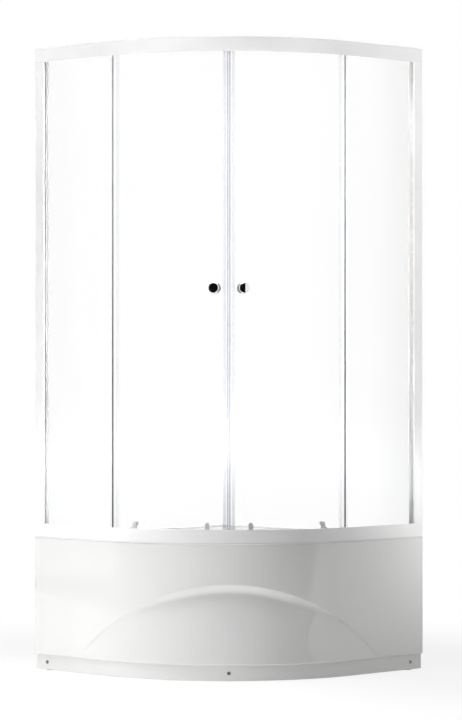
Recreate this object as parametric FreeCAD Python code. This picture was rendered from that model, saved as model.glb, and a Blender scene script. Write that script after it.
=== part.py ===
"""Quadrant corner shower enclosure: deep tray, framed fixed panes and two curved sliding doors.

Sizes are in millimetres and angles in degrees. The room's walls are the planes x = -half_side and
y = +half_side, the front faces +X and -Y, and z = 0 is the floor under the middle of the footprint.
The right-hand half is drawn, and the left-hand half is its mirror image in the diagonal.
"""
import FreeCAD
import Part
import math
import os

Vector = FreeCAD.Vector

# Footprint and main heights
side = 900.0
bend_radius = 550.0
overall_height = 2034.0
rim_top = 436.0
plinth_top = 50.0

# Clearances shared by all pieces
overrun = 5.0
fit_gap = 0.1
seat_gap = 0.05
wheel_bore_gap = 0.05
wheel_side_gap = 0.4
seal_face_gap = 0.2
same_place = 0.05

# Tray
rim_thickness = 5.0
rim_edge_round = 3.0
tray_wall = 5.0
basin_floor = 150.0
rim_width_at_walls = 45.0
rim_width_at_front = 66.0
basin_draft = 28.0
room_corner_round = 90.0
side_corner_round = 60.0
basin_floor_round = 30.0
upstand_height = 5.0
upstand_width = 6.0

# Drain and trap
drain_from_walls = 230.0
drain_hole_radius = 45.0
drain_flange_radius = 57.0
drain_flange_thickness = 3.0
drain_sleeve_radius = 42.0
drain_sleeve_wall = 3.0
drain_sleeve_length = 38.0
drain_cover_radius = 52.0
drain_cover_crown = 7.0
drain_cover_thickness = 2.5
drain_cover_lift = 6.0
drain_cover_leg_radius = 3.0
drain_cover_legs = 3
drain_gasket_thickness = 2.5
trap_radius = 52.0
trap_wall = 3.0
trap_depth = 80.0
trap_flange_radius = 60.0
trap_flange_thickness = 4.0
trap_outlet_radius = 20.0
trap_outlet_wall = 3.0
trap_collar_radius = 23.0
trap_collar_reach = 68.0
trap_outlet_reach = 110.0
trap_outlet_drop = 46.0

# Apron, its arched recess and the plinth below it
apron_inset = 1.5
apron_wall = 4.0
arch_peak = 305.0
arch_radius = 594.0
arch_half_span = 462.0
arch_wall_depth = 24.0
arch_wall_run = 27.0
arch_foot_overlap = 1.5
arch_sections = 17
shallow_floor_depth = 5.0
deep_floor_depth = 22.0
deep_floor_radius = 595.0
plinth_inset = 9.0
plinth_thickness = 3.0
plinth_floor_gap = 2.0
plinth_screw_height = 26.0
plinth_screw_from_wall = 52.0
plinth_screw_head_radius = 6.0
plinth_screw_head_height = 3.0
plinth_screw_round = 1.6
plinth_screw_radius = 2.0
plinth_screw_length = 14.0
plinth_bracket_width = 40.0
plinth_bracket_thickness = 2.5
plinth_bracket_low = 18.0
plinth_bracket_high = 46.0

# Board, bearers, posts and levelling feet under the tray
board_thickness = 8.0
board_margin = 16.0
board_drain_gap = 12.0
bearer_width = 30.0
bearer_height = 25.0
bearer_wall = 2.0
main_bearer_trap_gap = 82.0
main_bearer_front_gap = 30.0
side_foot_inset = 40.0
bearer_past_foot = 19.0
rear_bearer_reach = 184.0
rear_bearer_half_length = 100.0
rear_foot_lateral = 75.0
post_width = 20.0
post_wall = 1.5
front_post_inset = 43.0
side_post_from_foot = 11.0
front_foot_inset = 52.0
stud_radius = 6.0
stud_into_bearer = 20.0
foot_nut_radius = 11.0
foot_nut_sides = 6
foot_nut_height = 10.0
foot_pad_radius = 26.0
foot_pad_height = 15.0
foot_pad_round = 4.0
foot_socket_depth = 9.0

# Rails
frame_inset = 2.5
rail_wall = 2.5
rail_edge_round = 1.2
groove_width = 8.5
groove_wall = 2.0
bottom_rail_height = 42.5
bottom_groove_wall_height = 38.0
bottom_ledge_height = 28.0
bottom_base_thickness = 3.0
top_rail_height = 46.0
top_ledge_drop = 26.0
top_groove_wall_low = 2.0
top_web_width = 32.0
track_width = 22.0
top_lip_inset = 24.5
lip_width = 2.0
lip_height = 2.5

# Fixed panes and their frames
pane_inset = 6.75
pane_thickness = 5.0
pane_past_bend = 16.0
pane_in_jamb = 7.0
pane_above_rail_base = 10.0
pane_below_ledge = 3.0
setting_block_length = 30.0
setting_block_side_gap = 0.5
setting_block_from_pane_end = 57.0
jamb_face_width = 40.0
jamb_depth = 30.0
jamb_wall = 2.0
jamb_web_from_wall = 26.0
jamb_glazing_width = 10.5
jamb_inner_leg = 50.0
jamb_edge_round = 1.2
gasket_lip = 3.0
gasket_bed = 4.0
wall_gap = 0.3
channel_inset = 5.0
channel_width = 20.0
channel_leg = 22.0
channel_wall = 2.0
channel_flange_end = 58.0
channel_end_gap = 4.0
wall_hole_radius = 2.75
wall_hole_inset = 44.0
wall_hole_end_distance = 150.0
key_inset = 16.5
key_thickness = 6.0
key_from_wall = 4.0
key_width = 17.0
key_length = 56.0
key_screw_radius = 2.0
key_screw_head_radius = 4.0
key_screw_head_height = 2.5
key_screw_grip = 26.0

# Curved doors
door_inset = 37.0
door_glass = 5.0
door_above_ledge = 6.0
door_below_top = 12.0
door_lead_lateral = 11.0
door_trail_angle = 44.9
glass_hole_radius = 4.0
seal_leg = 1.8
seal_grip = 8.0
seal_web = 2.0
magnet_thickness = 3.4
magnet_width = 6.0
magnet_cover = 1.6
edge_fin_length = 16.0
edge_fin_side = 9.0
edge_fin_thickness = 1.2
edge_fin_rail_gap = 2.0
knob_angle = 5.2
knob_above_rim = 806.0
knob_radius = 16.5
inner_knob_radius = 19.0
knob_length = 33.0
knob_base_radius = 9.0
knob_base_length = 2.5
knob_neck_radius = 5.5
knob_neck_length = 10.0
knob_rim_length = 6.0
knob_neck_round = 7.0
knob_base_round = 0.8
knob_rim_round = 2.4
knob_bolt_radius = 3.0
knob_bolt_depth = 18.0

# Rollers that carry and guide the doors
roller_angles = (7.7, 35.7)
wheel_radius = 9.0
wheel_width = 6.0
wheel_edge_round = 0.8
wheel_track_gap = 0.2
upper_wheel_from_lip = 10.2
wheel_recess_radius = 5.5
wheel_recess_depth = 1.8
bracket_width = 16.0
bracket_thickness = 4.0
bracket_pitch = 19.5
bracket_end = 6.0
bracket_edge_round = 1.0
roller_pin_radius = 3.0
roller_pin_head_radius = 4.5
roller_pin_head_height = 1.2
roller_shoulder_radius = 5.0
roller_pin_seat = 3.0
bracket_bolt_radius = 2.5
bracket_bolt_seat = 3.0
bracket_bolt_head_radius = 6.5
bracket_bolt_head_height = 5.0
bracket_bolt_head_round = 1.5
stop_from_wall = 160.0
stop_length = 15.0
stop_height = 12.0
stop_width = 14.0

# Places worked out from the sizes above
half_side = side / 2
straight = side - bend_radius
bend_centre = Vector(straight - half_side, half_side - straight, 0)
up = Vector(0, 0, 1)
mirror_normal = Vector(1, 1, 0)
diagonal_turn = 45.0
quarter_turn = 90.0
full_turn = 360.0
corner_to_bend = straight * math.sqrt(2)
corner_to_front = corner_to_bend + bend_radius
side_foot_from_corner = side - side_foot_inset
cross_bearer_reach = (side_foot_from_corner + plinth_screw_from_wall) / math.sqrt(2)
side_foot_lateral = (side_foot_from_corner - plinth_screw_from_wall) / math.sqrt(2)
drain_reach = drain_from_walls * math.sqrt(2)
board_top = basin_floor - tray_wall
bearer_top = board_top - board_thickness
bearer_bottom = bearer_top - bearer_height
rim_underside = rim_top - rim_thickness
bottom_rail_top = rim_top + bottom_rail_height
top_rail_bottom = overall_height - top_rail_height
bottom_ledge = rim_top + bottom_ledge_height
top_ledge = overall_height - top_ledge_drop
fascia_inner = frame_inset + rail_wall
groove_inner = fascia_inner + groove_width
bottom_track = groove_inner + groove_wall
bottom_lip = bottom_track + track_width
bottom_rail_inner = bottom_lip + lip_width
top_track_inner = top_lip_inset + lip_width
jamb_face_inner = frame_inset + jamb_wall
pane_inner = pane_inset + pane_thickness
pane_end = straight + pane_past_bend
pane_start = jamb_face_width - pane_in_jamb
pane_bottom = rim_top + pane_above_rail_base
pane_top = top_ledge - rail_wall - pane_below_ledge
door_bottom = bottom_ledge + door_above_ledge
door_top = overall_height - door_below_top
knob_height = rim_top + knob_above_rim
door_inner = door_inset + door_glass
door_outer_radius = bend_radius - door_inset
door_inner_radius = bend_radius - door_inner
door_lead_angle = math.degrees(math.asin(door_lead_lateral / door_outer_radius))
lower_wheel_height = bottom_ledge + wheel_track_gap + wheel_radius
upper_wheel_height = top_ledge + wheel_track_gap + wheel_radius
lower_bolt_height = lower_wheel_height + bracket_pitch
upper_bolt_height = upper_wheel_height - bracket_pitch
lower_wheel_inset = bottom_track + track_width / 2
upper_wheel_inset = top_lip_inset - upper_wheel_from_lip
bracket_inset = door_inset - seat_gap - bracket_thickness


def rounded_wire(corners, place):
    """Closed wire through (a, b, radius) corners, each rounded by its own radius, put in space by place."""
    arcs = []
    for index, (a, b, radius) in enumerate(corners):
        here = Vector(a, b, 0)
        last = corners[index - 1]
        following = corners[(index + 1) % len(corners)]
        to_last = (Vector(last[0], last[1], 0) - here).normalize()
        to_next = (Vector(following[0], following[1], 0) - here).normalize()
        half_angle = to_last.getAngle(to_next) / 2
        reach = radius / math.tan(half_angle)
        inward = (to_last + to_next).normalize() if radius else Vector()
        middle = here + inward * (radius / math.sin(half_angle) - radius)
        arcs.append((here + to_last * reach, middle, here + to_next * reach, radius))
    edges = []
    for index, (start, middle, end, radius) in enumerate(arcs):
        if radius:
            points = [place(point.x, point.y) for point in (start, middle, end)]
            edges.append(Part.Arc(*points).toShape())
        next_start = arcs[(index + 1) % len(arcs)][0]
        if end.distanceToPoint(next_start) > same_place:
            edges.append(Part.makeLine(place(end.x, end.y), place(next_start.x, next_start.y)))
    return Part.Wire(edges)


def plan_block(inset, low, high):
    """Everything inside the front outline, drawn back by inset, between two heights."""
    edge = half_side - inset
    corners = [(-half_side, half_side, 0), (edge, half_side, 0), (edge, -edge, bend_radius - inset),
               (-half_side, -edge, 0)]
    wire = rounded_wire(corners, lambda x, y: Vector(x, y, low))
    return Part.Face(wire).extrude(up * (high - low))


def plan_band(outer, inner, low, high):
    """Sheet that follows the front from wall to wall, between two insets and two heights."""
    return plan_block(outer, low, high).cut(plan_block(inner, low - overrun, high + overrun))


def along_front(corners):
    """Section of (inset, height, radius) corners carried along a straight, the bend and a straight."""
    wire = rounded_wire(corners, lambda inset, height: Vector(half_side - inset, half_side, height))
    face = Part.Face(wire)
    right_run = face.extrude(Vector(0, -straight, 0))
    at_bend = face.translated(Vector(0, -straight, 0))
    bend = at_bend.revolve(bend_centre, up, -quarter_turn)
    past_bend = at_bend.rotated(bend_centre, up, -quarter_turn)
    left_run = past_bend.extrude(Vector(-straight, 0, 0))
    return right_run.fuse([bend, left_run]).removeSplitter()


def wall_upright(corners, low, high):
    """Upright on the right-hand wall, from (inset, distance from the wall, radius) corners."""
    wire = rounded_wire(corners, lambda inset, reach: Vector(half_side - inset, half_side - reach, low))
    return Part.Face(wire).extrude(up * (high - low))


def wall_box(inset, inner, near, far, low, high):
    """Box between two insets, two distances from the right-hand wall and two heights."""
    size = (inner - inset, far - near, high - low)
    return Part.makeBox(*size, Vector(half_side - inner, half_side - far, low))


def on_front(shape, angle):
    """Puts a shape drawn about the bend's centre, outward along -Y, at its angle from the diagonal."""
    return shape.rotated(Vector(), up, diagonal_turn + angle).translated(bend_centre)


def diagonal_box(lateral, far_lateral, reach, far_reach, low, high):
    """Box square to the diagonal: lateral to the right of it, and reach counted from the room's corner."""
    size = (far_lateral - lateral, far_reach - reach, high - low)
    return on_front(Part.makeBox(*size, Vector(lateral, corner_to_bend - far_reach, low)), 0)


def diagonal_post(radius, lateral, reach, low, high):
    """Upright cylinder at a place given as in diagonal_box."""
    return on_front(Part.makeCylinder(radius, high - low, Vector(lateral, corner_to_bend - reach, low)), 0)


def front_rod(radius, inset, inner, height):
    """Cylinder square to the front, between two insets, drawn for on_front."""
    return Part.makeCylinder(radius, inner - inset, Vector(0, inset - bend_radius, height), Vector(0, 1, 0))


def ring_sector(radius, inner_radius, low, high, start, end):
    """Curved wall about the bend's centre from one angle to another, drawn for on_front."""
    corners = [(radius, low, 0), (radius, high, 0), (inner_radius, high, 0), (inner_radius, low, 0)]
    face = Part.Face(rounded_wire(corners, lambda reach, height: Vector(0, -reach, height)))
    return face.rotated(Vector(), up, start).revolve(Vector(), up, end - start)


def mirrored(shape):
    """The same piece on the other side of the diagonal."""
    return shape.mirror(Vector(), mirror_normal)


def with_mirror(shapes):
    """A list of pieces together with their mirror images."""
    return shapes + [mirrored(shape) for shape in shapes]


def sag(radius, half_width):
    """How far a circle of that radius leaves its tangent at half_width from the point of contact."""
    return radius - math.sqrt(radius ** 2 - half_width ** 2)


def round_edges(solid, radius, chosen):
    """Fillets the edges for which chosen is true."""
    return solid.makeFillet(radius, [edge for edge in solid.Edges if chosen(edge)])


def is_circle(edge, radius):
    """True for a circular edge of that radius."""
    return isinstance(edge.Curve, Part.Circle) and abs(edge.Curve.Radius - radius) < same_place


# Tray, board and drain

def basin(growth, low, high):
    """Tapered basin grown outwards by growth, from its floor at low to its mouth at high."""
    wires = []
    slope_share = (high - low) / (rim_top - basin_floor)
    for height, draft in ((low, basin_draft), (high, basin_draft * (1 - slope_share))):
        at_walls = half_side - rim_width_at_walls - draft + growth
        at_front = half_side - rim_width_at_front - draft + growth
        corners = [(-at_walls, at_walls, room_corner_round + growth),
                   (at_front, at_walls, side_corner_round + growth),
                   (at_front, -at_front, bend_radius - rim_width_at_front - draft + growth),
                   (-at_walls, -at_front, side_corner_round + growth)]
        wires.append(rounded_wire(corners, lambda x, y: Vector(x, y, height)))
    solid = Part.makeLoft(wires, True, True)
    return round_edges(solid, basin_floor_round + growth, lambda edge: edge.BoundBox.ZMax < low + same_place)


def drain_cylinder(radius, low, high):
    """Upright cylinder on the drain's axis."""
    return Part.makeCylinder(radius, high - low, drain_axis(low))


def drain_axis(height):
    """Point of the drain's axis at a height."""
    return Vector(drain_from_walls - half_side, half_side - drain_from_walls, height)


def make_tray():
    """Acrylic tray: flat rim, tapered basin, drain hole and a low upstand along both walls."""
    rim = plan_block(0, rim_underside, rim_top)
    rim = round_edges(rim, rim_edge_round, lambda edge: is_circle(edge, bend_radius)
                      and edge.BoundBox.ZMax < rim_top)
    upstand_run = side - bottom_rail_inner - upstand_width
    upstand = Part.makeBox(upstand_run, upstand_width, upstand_height,
                           Vector(-half_side, half_side - upstand_width, rim_top))
    shell = rim.fuse([basin(tray_wall, board_top, rim_underside), upstand, mirrored(upstand)])
    shell = shell.cut(basin(0, basin_floor, rim_top + overrun))
    hole = drain_cylinder(drain_hole_radius, board_top - overrun, basin_floor + overrun)
    return shell.cut(hole).removeSplitter()


def make_board():
    """Stiffening board glued under the basin floor, open round the trap."""
    grown = basin(tray_wall - board_margin, bearer_top, rim_top)
    slab = Part.makeBox(side, side, board_thickness, Vector(-half_side, -half_side, bearer_top))
    below_flange = trap_flange_radius + board_drain_gap
    return grown.common(slab).cut(drain_cylinder(below_flange, bearer_top - overrun, board_top + overrun))


def make_drain_flange():
    """Flanged ring that clamps the trap to the tray floor."""
    flange = drain_cylinder(drain_flange_radius, basin_floor, basin_floor + drain_flange_thickness)
    sleeve = drain_cylinder(drain_sleeve_radius, basin_floor - drain_sleeve_length, basin_floor)
    bore_low = basin_floor - drain_sleeve_length - overrun
    bore_high = basin_floor + drain_flange_thickness + overrun
    bore = drain_cylinder(drain_sleeve_radius - drain_sleeve_wall, bore_low, bore_high)
    return flange.fuse(sleeve).cut(bore).removeSplitter()


def make_drain_cover():
    """Domed cover that stands on short legs on the flange, so that water runs in under its edge."""
    seat = basin_floor + drain_flange_thickness
    low = seat + drain_cover_lift
    dome_radius = (drain_cover_radius ** 2 + drain_cover_crown ** 2) / (2 * drain_cover_crown)
    ball_centre = drain_axis(low + drain_cover_crown - dome_radius)
    ball = Part.makeSphere(dome_radius, ball_centre)
    hollow = Part.makeSphere(dome_radius - drain_cover_thickness, ball_centre)
    dome = drain_cylinder(drain_cover_radius, low, low + drain_cover_crown).common(ball).cut(hollow)
    skirt = drain_cylinder(drain_cover_radius, low - drain_cover_thickness, low)
    skirt = skirt.cut(drain_cylinder(drain_cover_radius - drain_cover_thickness * 2, low - overrun, low))
    leg_circle = drain_cover_radius - drain_cover_leg_radius
    leg = drain_cylinder(drain_cover_leg_radius, seat, low).translated(Vector(leg_circle, 0, 0))
    turn = full_turn / drain_cover_legs
    legs = [leg.rotated(drain_axis(seat), up, turn * index) for index in range(drain_cover_legs)]
    return dome.fuse([skirt] + legs).removeSplitter()


def make_drain_gasket():
    """Rubber ring between the tray's underside and the trap."""
    low = board_top - drain_gasket_thickness
    ring = drain_cylinder(trap_flange_radius, low, board_top)
    return ring.cut(drain_cylinder(drain_hole_radius, low - overrun, board_top + overrun))


def make_trap():
    """Cup-shaped trap with a side outlet towards the back wall."""
    top = board_top - drain_gasket_thickness
    bottom = top - trap_depth
    cup = drain_cylinder(trap_radius, bottom, top)
    flange = drain_cylinder(trap_flange_radius, top - trap_flange_thickness, top)
    outlet_height = top - trap_outlet_drop
    along = Vector(0, 1, 0)
    outlet = Part.makeCylinder(trap_outlet_radius, trap_outlet_reach, drain_axis(outlet_height), along)
    collar = Part.makeCylinder(trap_collar_radius, trap_collar_reach, drain_axis(outlet_height), along)
    bore = Part.makeCylinder(trap_outlet_radius - trap_outlet_wall, trap_outlet_reach + overrun,
                             drain_axis(outlet_height), along)
    hollow = drain_cylinder(trap_radius - trap_wall, bottom + trap_wall, top + overrun)
    return cup.fuse([flange, outlet, collar]).cut(hollow.fuse(bore)).removeSplitter()


# Apron and plinth

def apron_front(lateral):
    """Distance of the apron's outer face in front of the bend's centre, along the diagonal."""
    radius = bend_radius - apron_inset
    bend_end = radius * math.sin(math.radians(diagonal_turn))
    if abs(lateral) < bend_end:
        return math.sqrt(radius ** 2 - lateral ** 2)
    return 2 * bend_end - abs(lateral)


def arch_wall_section(angle):
    """Wedge that bevels the arch at an angle from its peak: crease outside, foot of the slope inside."""
    centre_height = arch_peak - arch_radius
    foot_radius = arch_radius - arch_wall_run
    crease = (arch_radius * math.sin(angle), centre_height + arch_radius * math.cos(angle))
    foot = (foot_radius * math.sin(angle), centre_height + foot_radius * math.cos(angle))
    front = apron_front(crease[0])
    clear = front + 2 * arch_wall_run
    points = [Vector(crease[0], -front, crease[1]), Vector(foot[0], arch_wall_depth - front, foot[1]),
              Vector(foot[0], -clear, foot[1]), Vector(crease[0], -clear, crease[1])]
    return Part.makePolygon(points + points[:1])


def slanted_floor(face, depth):
    """Solid behind a recess floor that leans back from nothing at the plinth to depth at the arch's peak."""
    lean = depth / (arch_peak - plinth_top)
    low = plinth_top - overrun
    height = rim_top - low
    start = face.translated(Vector(0, -lean * overrun, low))
    return start.extrude(Vector(0, lean * height, height))


def plan_for_front(inset, low, high):
    """The block of plan_block, drawn for on_front."""
    return plan_block(inset, low, high).translated(-bend_centre).rotated(Vector(), up, -diagonal_turn)


def recessed_front():
    """Block behind the apron's outer face, with the arched recess cut into it, drawn for on_front."""
    block = plan_for_front(apron_inset, plinth_top - overrun, rim_top)
    half_angle = math.asin(arch_half_span / arch_radius)
    steps = [half_angle * (2 * index / (arch_sections - 1) - 1) for index in range(arch_sections)]
    bevel = Part.makeLoft([arch_wall_section(angle) for angle in steps], True, False)
    middle = Part.makeCylinder(arch_radius - arch_wall_run + arch_foot_overlap, bend_radius,
                               Vector(0, -side, arch_peak - arch_radius), Vector(0, 1, 0))
    flat_plan = plan_for_front(apron_inset, 0, overrun)
    plan_face = [face for face in flat_plan.Faces if face.BoundBox.ZMax < same_place][0]
    shallow = slanted_floor(plan_face, shallow_floor_depth)
    round_centre = Vector(0, deep_floor_radius - bend_radius + apron_inset, 0)
    deep_edge = Part.makeCircle(deep_floor_radius, round_centre)
    deep = slanted_floor(Part.Face(Part.Wire([deep_edge])), deep_floor_depth)
    behind_floors = block.common(shallow.common(deep))
    return block.cut(middle).cut(bevel).fuse(behind_floors).removeSplitter()


def make_apron():
    """Formed front panel of even thickness, whose arched recess shows on both faces."""
    outer = recessed_front()
    inner = outer.translated(Vector(0, apron_wall * math.sqrt(2), 0))
    shell = on_front(outer.cut(inner), 0)
    slab = Part.makeBox(side, side, rim_underside - plinth_top, Vector(-half_side, -half_side, plinth_top))
    return shell.common(slab)


def plinth_places():
    """Turn about Z and point of the plinth's outer face for each of its screws."""
    front = on_front(Part.Vertex(0, plinth_inset - bend_radius, plinth_screw_height), 0).Point
    right = Vector(half_side - plinth_inset, half_side - plinth_screw_from_wall, plinth_screw_height)
    left = Vector(plinth_screw_from_wall - half_side, plinth_inset - half_side, plinth_screw_height)
    return [(diagonal_turn, front), (quarter_turn, right), (0, left)]


def at_plinth_screws(shape):
    """Copies of a shape, drawn at the origin with outward along -Y, at each plinth screw."""
    return [shape.rotated(Vector(), up, turn).translated(point) for turn, point in plinth_places()]


def plinth_rods(radius, outward, inward):
    """One cylinder on each plinth screw's axis, from outward of the plinth's face to inward of it."""
    rod = Part.makeCylinder(radius, outward + inward, Vector(0, -outward, 0), Vector(0, 1, 0))
    return at_plinth_screws(rod)


def make_plinth():
    """Set-back kick strip under the apron, with its screw holes."""
    strip = plan_band(plinth_inset, plinth_inset + plinth_thickness, plinth_floor_gap, plinth_top)
    return strip.cut(plinth_rods(plinth_screw_radius + fit_gap, overrun, plinth_screw_length))


def make_plinth_screws():
    """Dome-headed screws that hold the plinth to its brackets."""
    inward = Vector(0, 1, 0)
    tip = -plinth_screw_head_height - seat_gap
    head = Part.makeCylinder(plinth_screw_head_radius, plinth_screw_head_height, Vector(0, tip, 0), inward)
    head = round_edges(head, plinth_screw_round, lambda edge: edge.BoundBox.YMax < tip + same_place)
    shank_length = plinth_screw_length + seat_gap
    shank = Part.makeCylinder(plinth_screw_radius, shank_length, Vector(0, -seat_gap, 0), inward)
    return at_plinth_screws(head.fuse(shank).removeSplitter())


def make_plinth_brackets():
    """Angle brackets behind the plinth, each clamped on the stud of a levelling foot."""
    back = plinth_inset + plinth_thickness
    half_width = plinth_bracket_width / 2
    shelf_low = plinth_bracket_high - plinth_bracket_thickness
    depth = front_foot_inset + stud_radius + plinth_bracket_thickness
    upright = plan_band(back, back + plinth_bracket_thickness, plinth_bracket_low, plinth_bracket_high)
    shelf = plan_block(back, shelf_low, plinth_bracket_high)
    front_start = corner_to_front - depth
    front_shelf = diagonal_box(-half_width, half_width, front_start, corner_to_front, 0, plinth_top)
    front_face = diagonal_box(-half_width, half_width, corner_to_bend, corner_to_front, 0, plinth_top)
    near = plinth_screw_from_wall - half_width
    right_shelf = wall_box(0, depth, near, near + plinth_bracket_width, 0, plinth_top)
    brackets = []
    for face_box, shelf_box in ((front_face, front_shelf), (right_shelf, right_shelf)):
        bracket = upright.common(face_box).fuse(shelf.common(shelf_box)).removeSplitter()
        brackets.append(bracket)
    brackets.append(mirrored(brackets[1]))
    holes = plinth_rods(plinth_screw_radius + fit_gap, 0, plinth_screw_length)
    holes += [foot_post(stud_radius + fit_gap, place, 0, plinth_top) for place in foot_places()]
    return [bracket.cut(holes) for bracket in brackets]


# Bearers, posts and feet

def foot_places():
    """Lateral place and reach of each levelling foot: front, right, left and two at the rear."""
    front = (0, corner_to_front - front_foot_inset)
    right = (side_foot_lateral, cross_bearer_reach)
    left = (-side_foot_lateral, cross_bearer_reach)
    rear = rear_foot_lateral
    return [front, right, left, (rear, rear_bearer_reach), (-rear, rear_bearer_reach)]


def foot_post(radius, place, low, high):
    """Upright cylinder on a foot's axis."""
    return diagonal_post(radius, place[0], place[1], low, high)


def bearer(lateral, far_lateral, reach, far_reach, along_diagonal):
    """Steel tube under the board, open at both ends, with holes in its lower wall for the foot studs."""
    outside = diagonal_box(lateral, far_lateral, reach, far_reach, bearer_bottom, bearer_top)
    low = bearer_bottom + bearer_wall
    high = bearer_top - bearer_wall
    if along_diagonal:
        inside = diagonal_box(lateral + bearer_wall, far_lateral - bearer_wall, reach - overrun,
                              far_reach + overrun, low, high)
    else:
        inside = diagonal_box(lateral - overrun, far_lateral + overrun, reach + bearer_wall,
                              far_reach - bearer_wall, low, high)
    holes = [foot_post(stud_radius + fit_gap, place, 0, low + overrun) for place in foot_places()]
    return outside.cut([inside] + holes)


def make_main_bearer():
    """Bearer along the diagonal, from the middle of the tray to the front foot."""
    half = bearer_width / 2
    start = drain_reach + trap_flange_radius + main_bearer_trap_gap
    return bearer(-half, half, start, corner_to_front - main_bearer_front_gap, True)


def make_cross_bearers():
    """Bearers from the main one to the feet beside the walls, and a short one near the room's corner."""
    half = bearer_width / 2
    low = cross_bearer_reach - half
    high = cross_bearer_reach + half
    right = bearer(half, side_foot_lateral + bearer_past_foot, low, high, False)
    rear = bearer(-rear_bearer_half_length, rear_bearer_half_length, rear_bearer_reach - half,
                  rear_bearer_reach + half, False)
    return [right, mirrored(right), rear]


def make_posts():
    """Upright tubes from the bearers to the underside of the rim."""
    half = post_width / 2
    inner = half - post_wall
    posts = []
    side_lateral = side_foot_lateral - side_post_from_foot
    places = ((0, corner_to_front - front_post_inset), (side_lateral, cross_bearer_reach),
              (-side_lateral, cross_bearer_reach))
    for lateral, reach in places:
        outside = diagonal_box(lateral - half, lateral + half, reach - half, reach + half,
                               bearer_top, rim_underside)
        inside = diagonal_box(lateral - inner, lateral + inner, reach - inner, reach + inner,
                              bearer_top - overrun, rim_underside + overrun)
        posts.append(outside.cut(inside))
    return posts


def make_studs():
    """Threaded studs of the levelling feet."""
    low = foot_pad_height - foot_socket_depth
    return [foot_post(stud_radius, place, low, bearer_bottom + stud_into_bearer) for place in foot_places()]


def make_foot_pads():
    """Round pads that stand on the floor."""
    pads = []
    for place in foot_places():
        pad = foot_post(foot_pad_radius, place, 0, foot_pad_height)
        pad = round_edges(pad, foot_pad_round, lambda edge: is_circle(edge, foot_pad_radius)
                          and edge.BoundBox.ZMin > same_place)
        socket_floor = foot_pad_height - foot_socket_depth
        socket = foot_post(stud_radius + fit_gap, place, socket_floor, foot_pad_height + overrun)
        pads.append(pad.cut(socket))
    return pads


def hex_nut(place, low):
    """Hexagon nut on a foot's stud."""
    corners = []
    for index in range(foot_nut_sides):
        turn = math.radians(full_turn * index / foot_nut_sides)
        corners.append((foot_nut_radius * math.cos(turn), foot_nut_radius * math.sin(turn), 0))
    wire = rounded_wire(corners, lambda x, y: Vector(x, y, low))
    nut = Part.Face(wire).extrude(up * foot_nut_height)
    nut = on_front(nut.translated(Vector(place[0], corner_to_bend - place[1], 0)), 0)
    return nut.cut(foot_post(stud_radius + fit_gap, place, low - overrun, low + foot_nut_height + overrun))


def make_foot_nuts():
    """Lock nuts under the bearers, and clamp nuts on the plinth brackets."""
    locks = [hex_nut(place, bearer_bottom - foot_nut_height) for place in foot_places()]
    clamps = [hex_nut(place, plinth_bracket_high) for place in foot_places()[:3]]
    return locks + clamps


# Rails

def make_bottom_rail():
    """Aluminium sill: pane groove outside, hollow chamber and roller track with its lip inside."""
    low = rim_top
    floor = low + bottom_base_thickness
    wall_top = low + bottom_groove_wall_height
    lip_top = bottom_ledge + lip_height
    edge = rail_edge_round
    corners = [(frame_inset, low, 0), (frame_inset, bottom_rail_top, edge),
               (fascia_inner, bottom_rail_top, 0), (fascia_inner, floor, 0),
               (groove_inner, floor, 0), (groove_inner, wall_top, 0), (bottom_track, wall_top, 0),
               (bottom_track, bottom_ledge, 0), (bottom_lip, bottom_ledge, 0), (bottom_lip, lip_top, 0),
               (bottom_rail_inner, lip_top, 0), (bottom_rail_inner, low, 0)]
    ceiling = bottom_ledge - rail_wall
    chamber = [(bottom_track, floor, 0), (bottom_track, ceiling, 0), (bottom_lip, ceiling, 0),
               (bottom_lip, floor, 0)]
    rail = along_front(corners).cut(along_front(chamber))
    return rail.cut(key_screw_holes())


def make_top_rail():
    """Aluminium head rail: fascia, pane groove below and roller track above, open towards the inside."""
    bottom = top_rail_bottom
    web = overall_height - rail_wall
    ceiling = top_ledge - rail_wall
    wall_low = bottom + top_groove_wall_low
    lip_top = top_ledge + lip_height
    edge = rail_edge_round
    corners = [(frame_inset, bottom, edge), (frame_inset, overall_height, edge),
               (top_web_width, overall_height, 0),
               (top_web_width, web, 0), (fascia_inner, web, 0), (fascia_inner, top_ledge, 0),
               (top_lip_inset, top_ledge, 0), (top_lip_inset, lip_top, 0), (top_track_inner, lip_top, 0),
               (top_track_inner, ceiling, 0),
               (bottom_track, ceiling, 0), (bottom_track, wall_low, 0), (groove_inner, wall_low, 0),
               (groove_inner, ceiling, 0), (fascia_inner, ceiling, 0), (fascia_inner, bottom, 0)]
    return along_front(corners).cut(key_screw_holes())


def make_track_stops():
    """Rubber stops at the open end of both tracks."""
    far = stop_from_wall + stop_length
    lower = wall_box(bottom_track + seat_gap, bottom_track + stop_width, stop_from_wall, far,
                     bottom_ledge, bottom_ledge + stop_height)
    upper = wall_box(fascia_inner + seat_gap, fascia_inner + stop_width, stop_from_wall, far,
                     top_ledge, top_ledge + stop_height)
    return with_mirror([lower, upper])


# Fixed panes, jambs and wall channels

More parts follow.
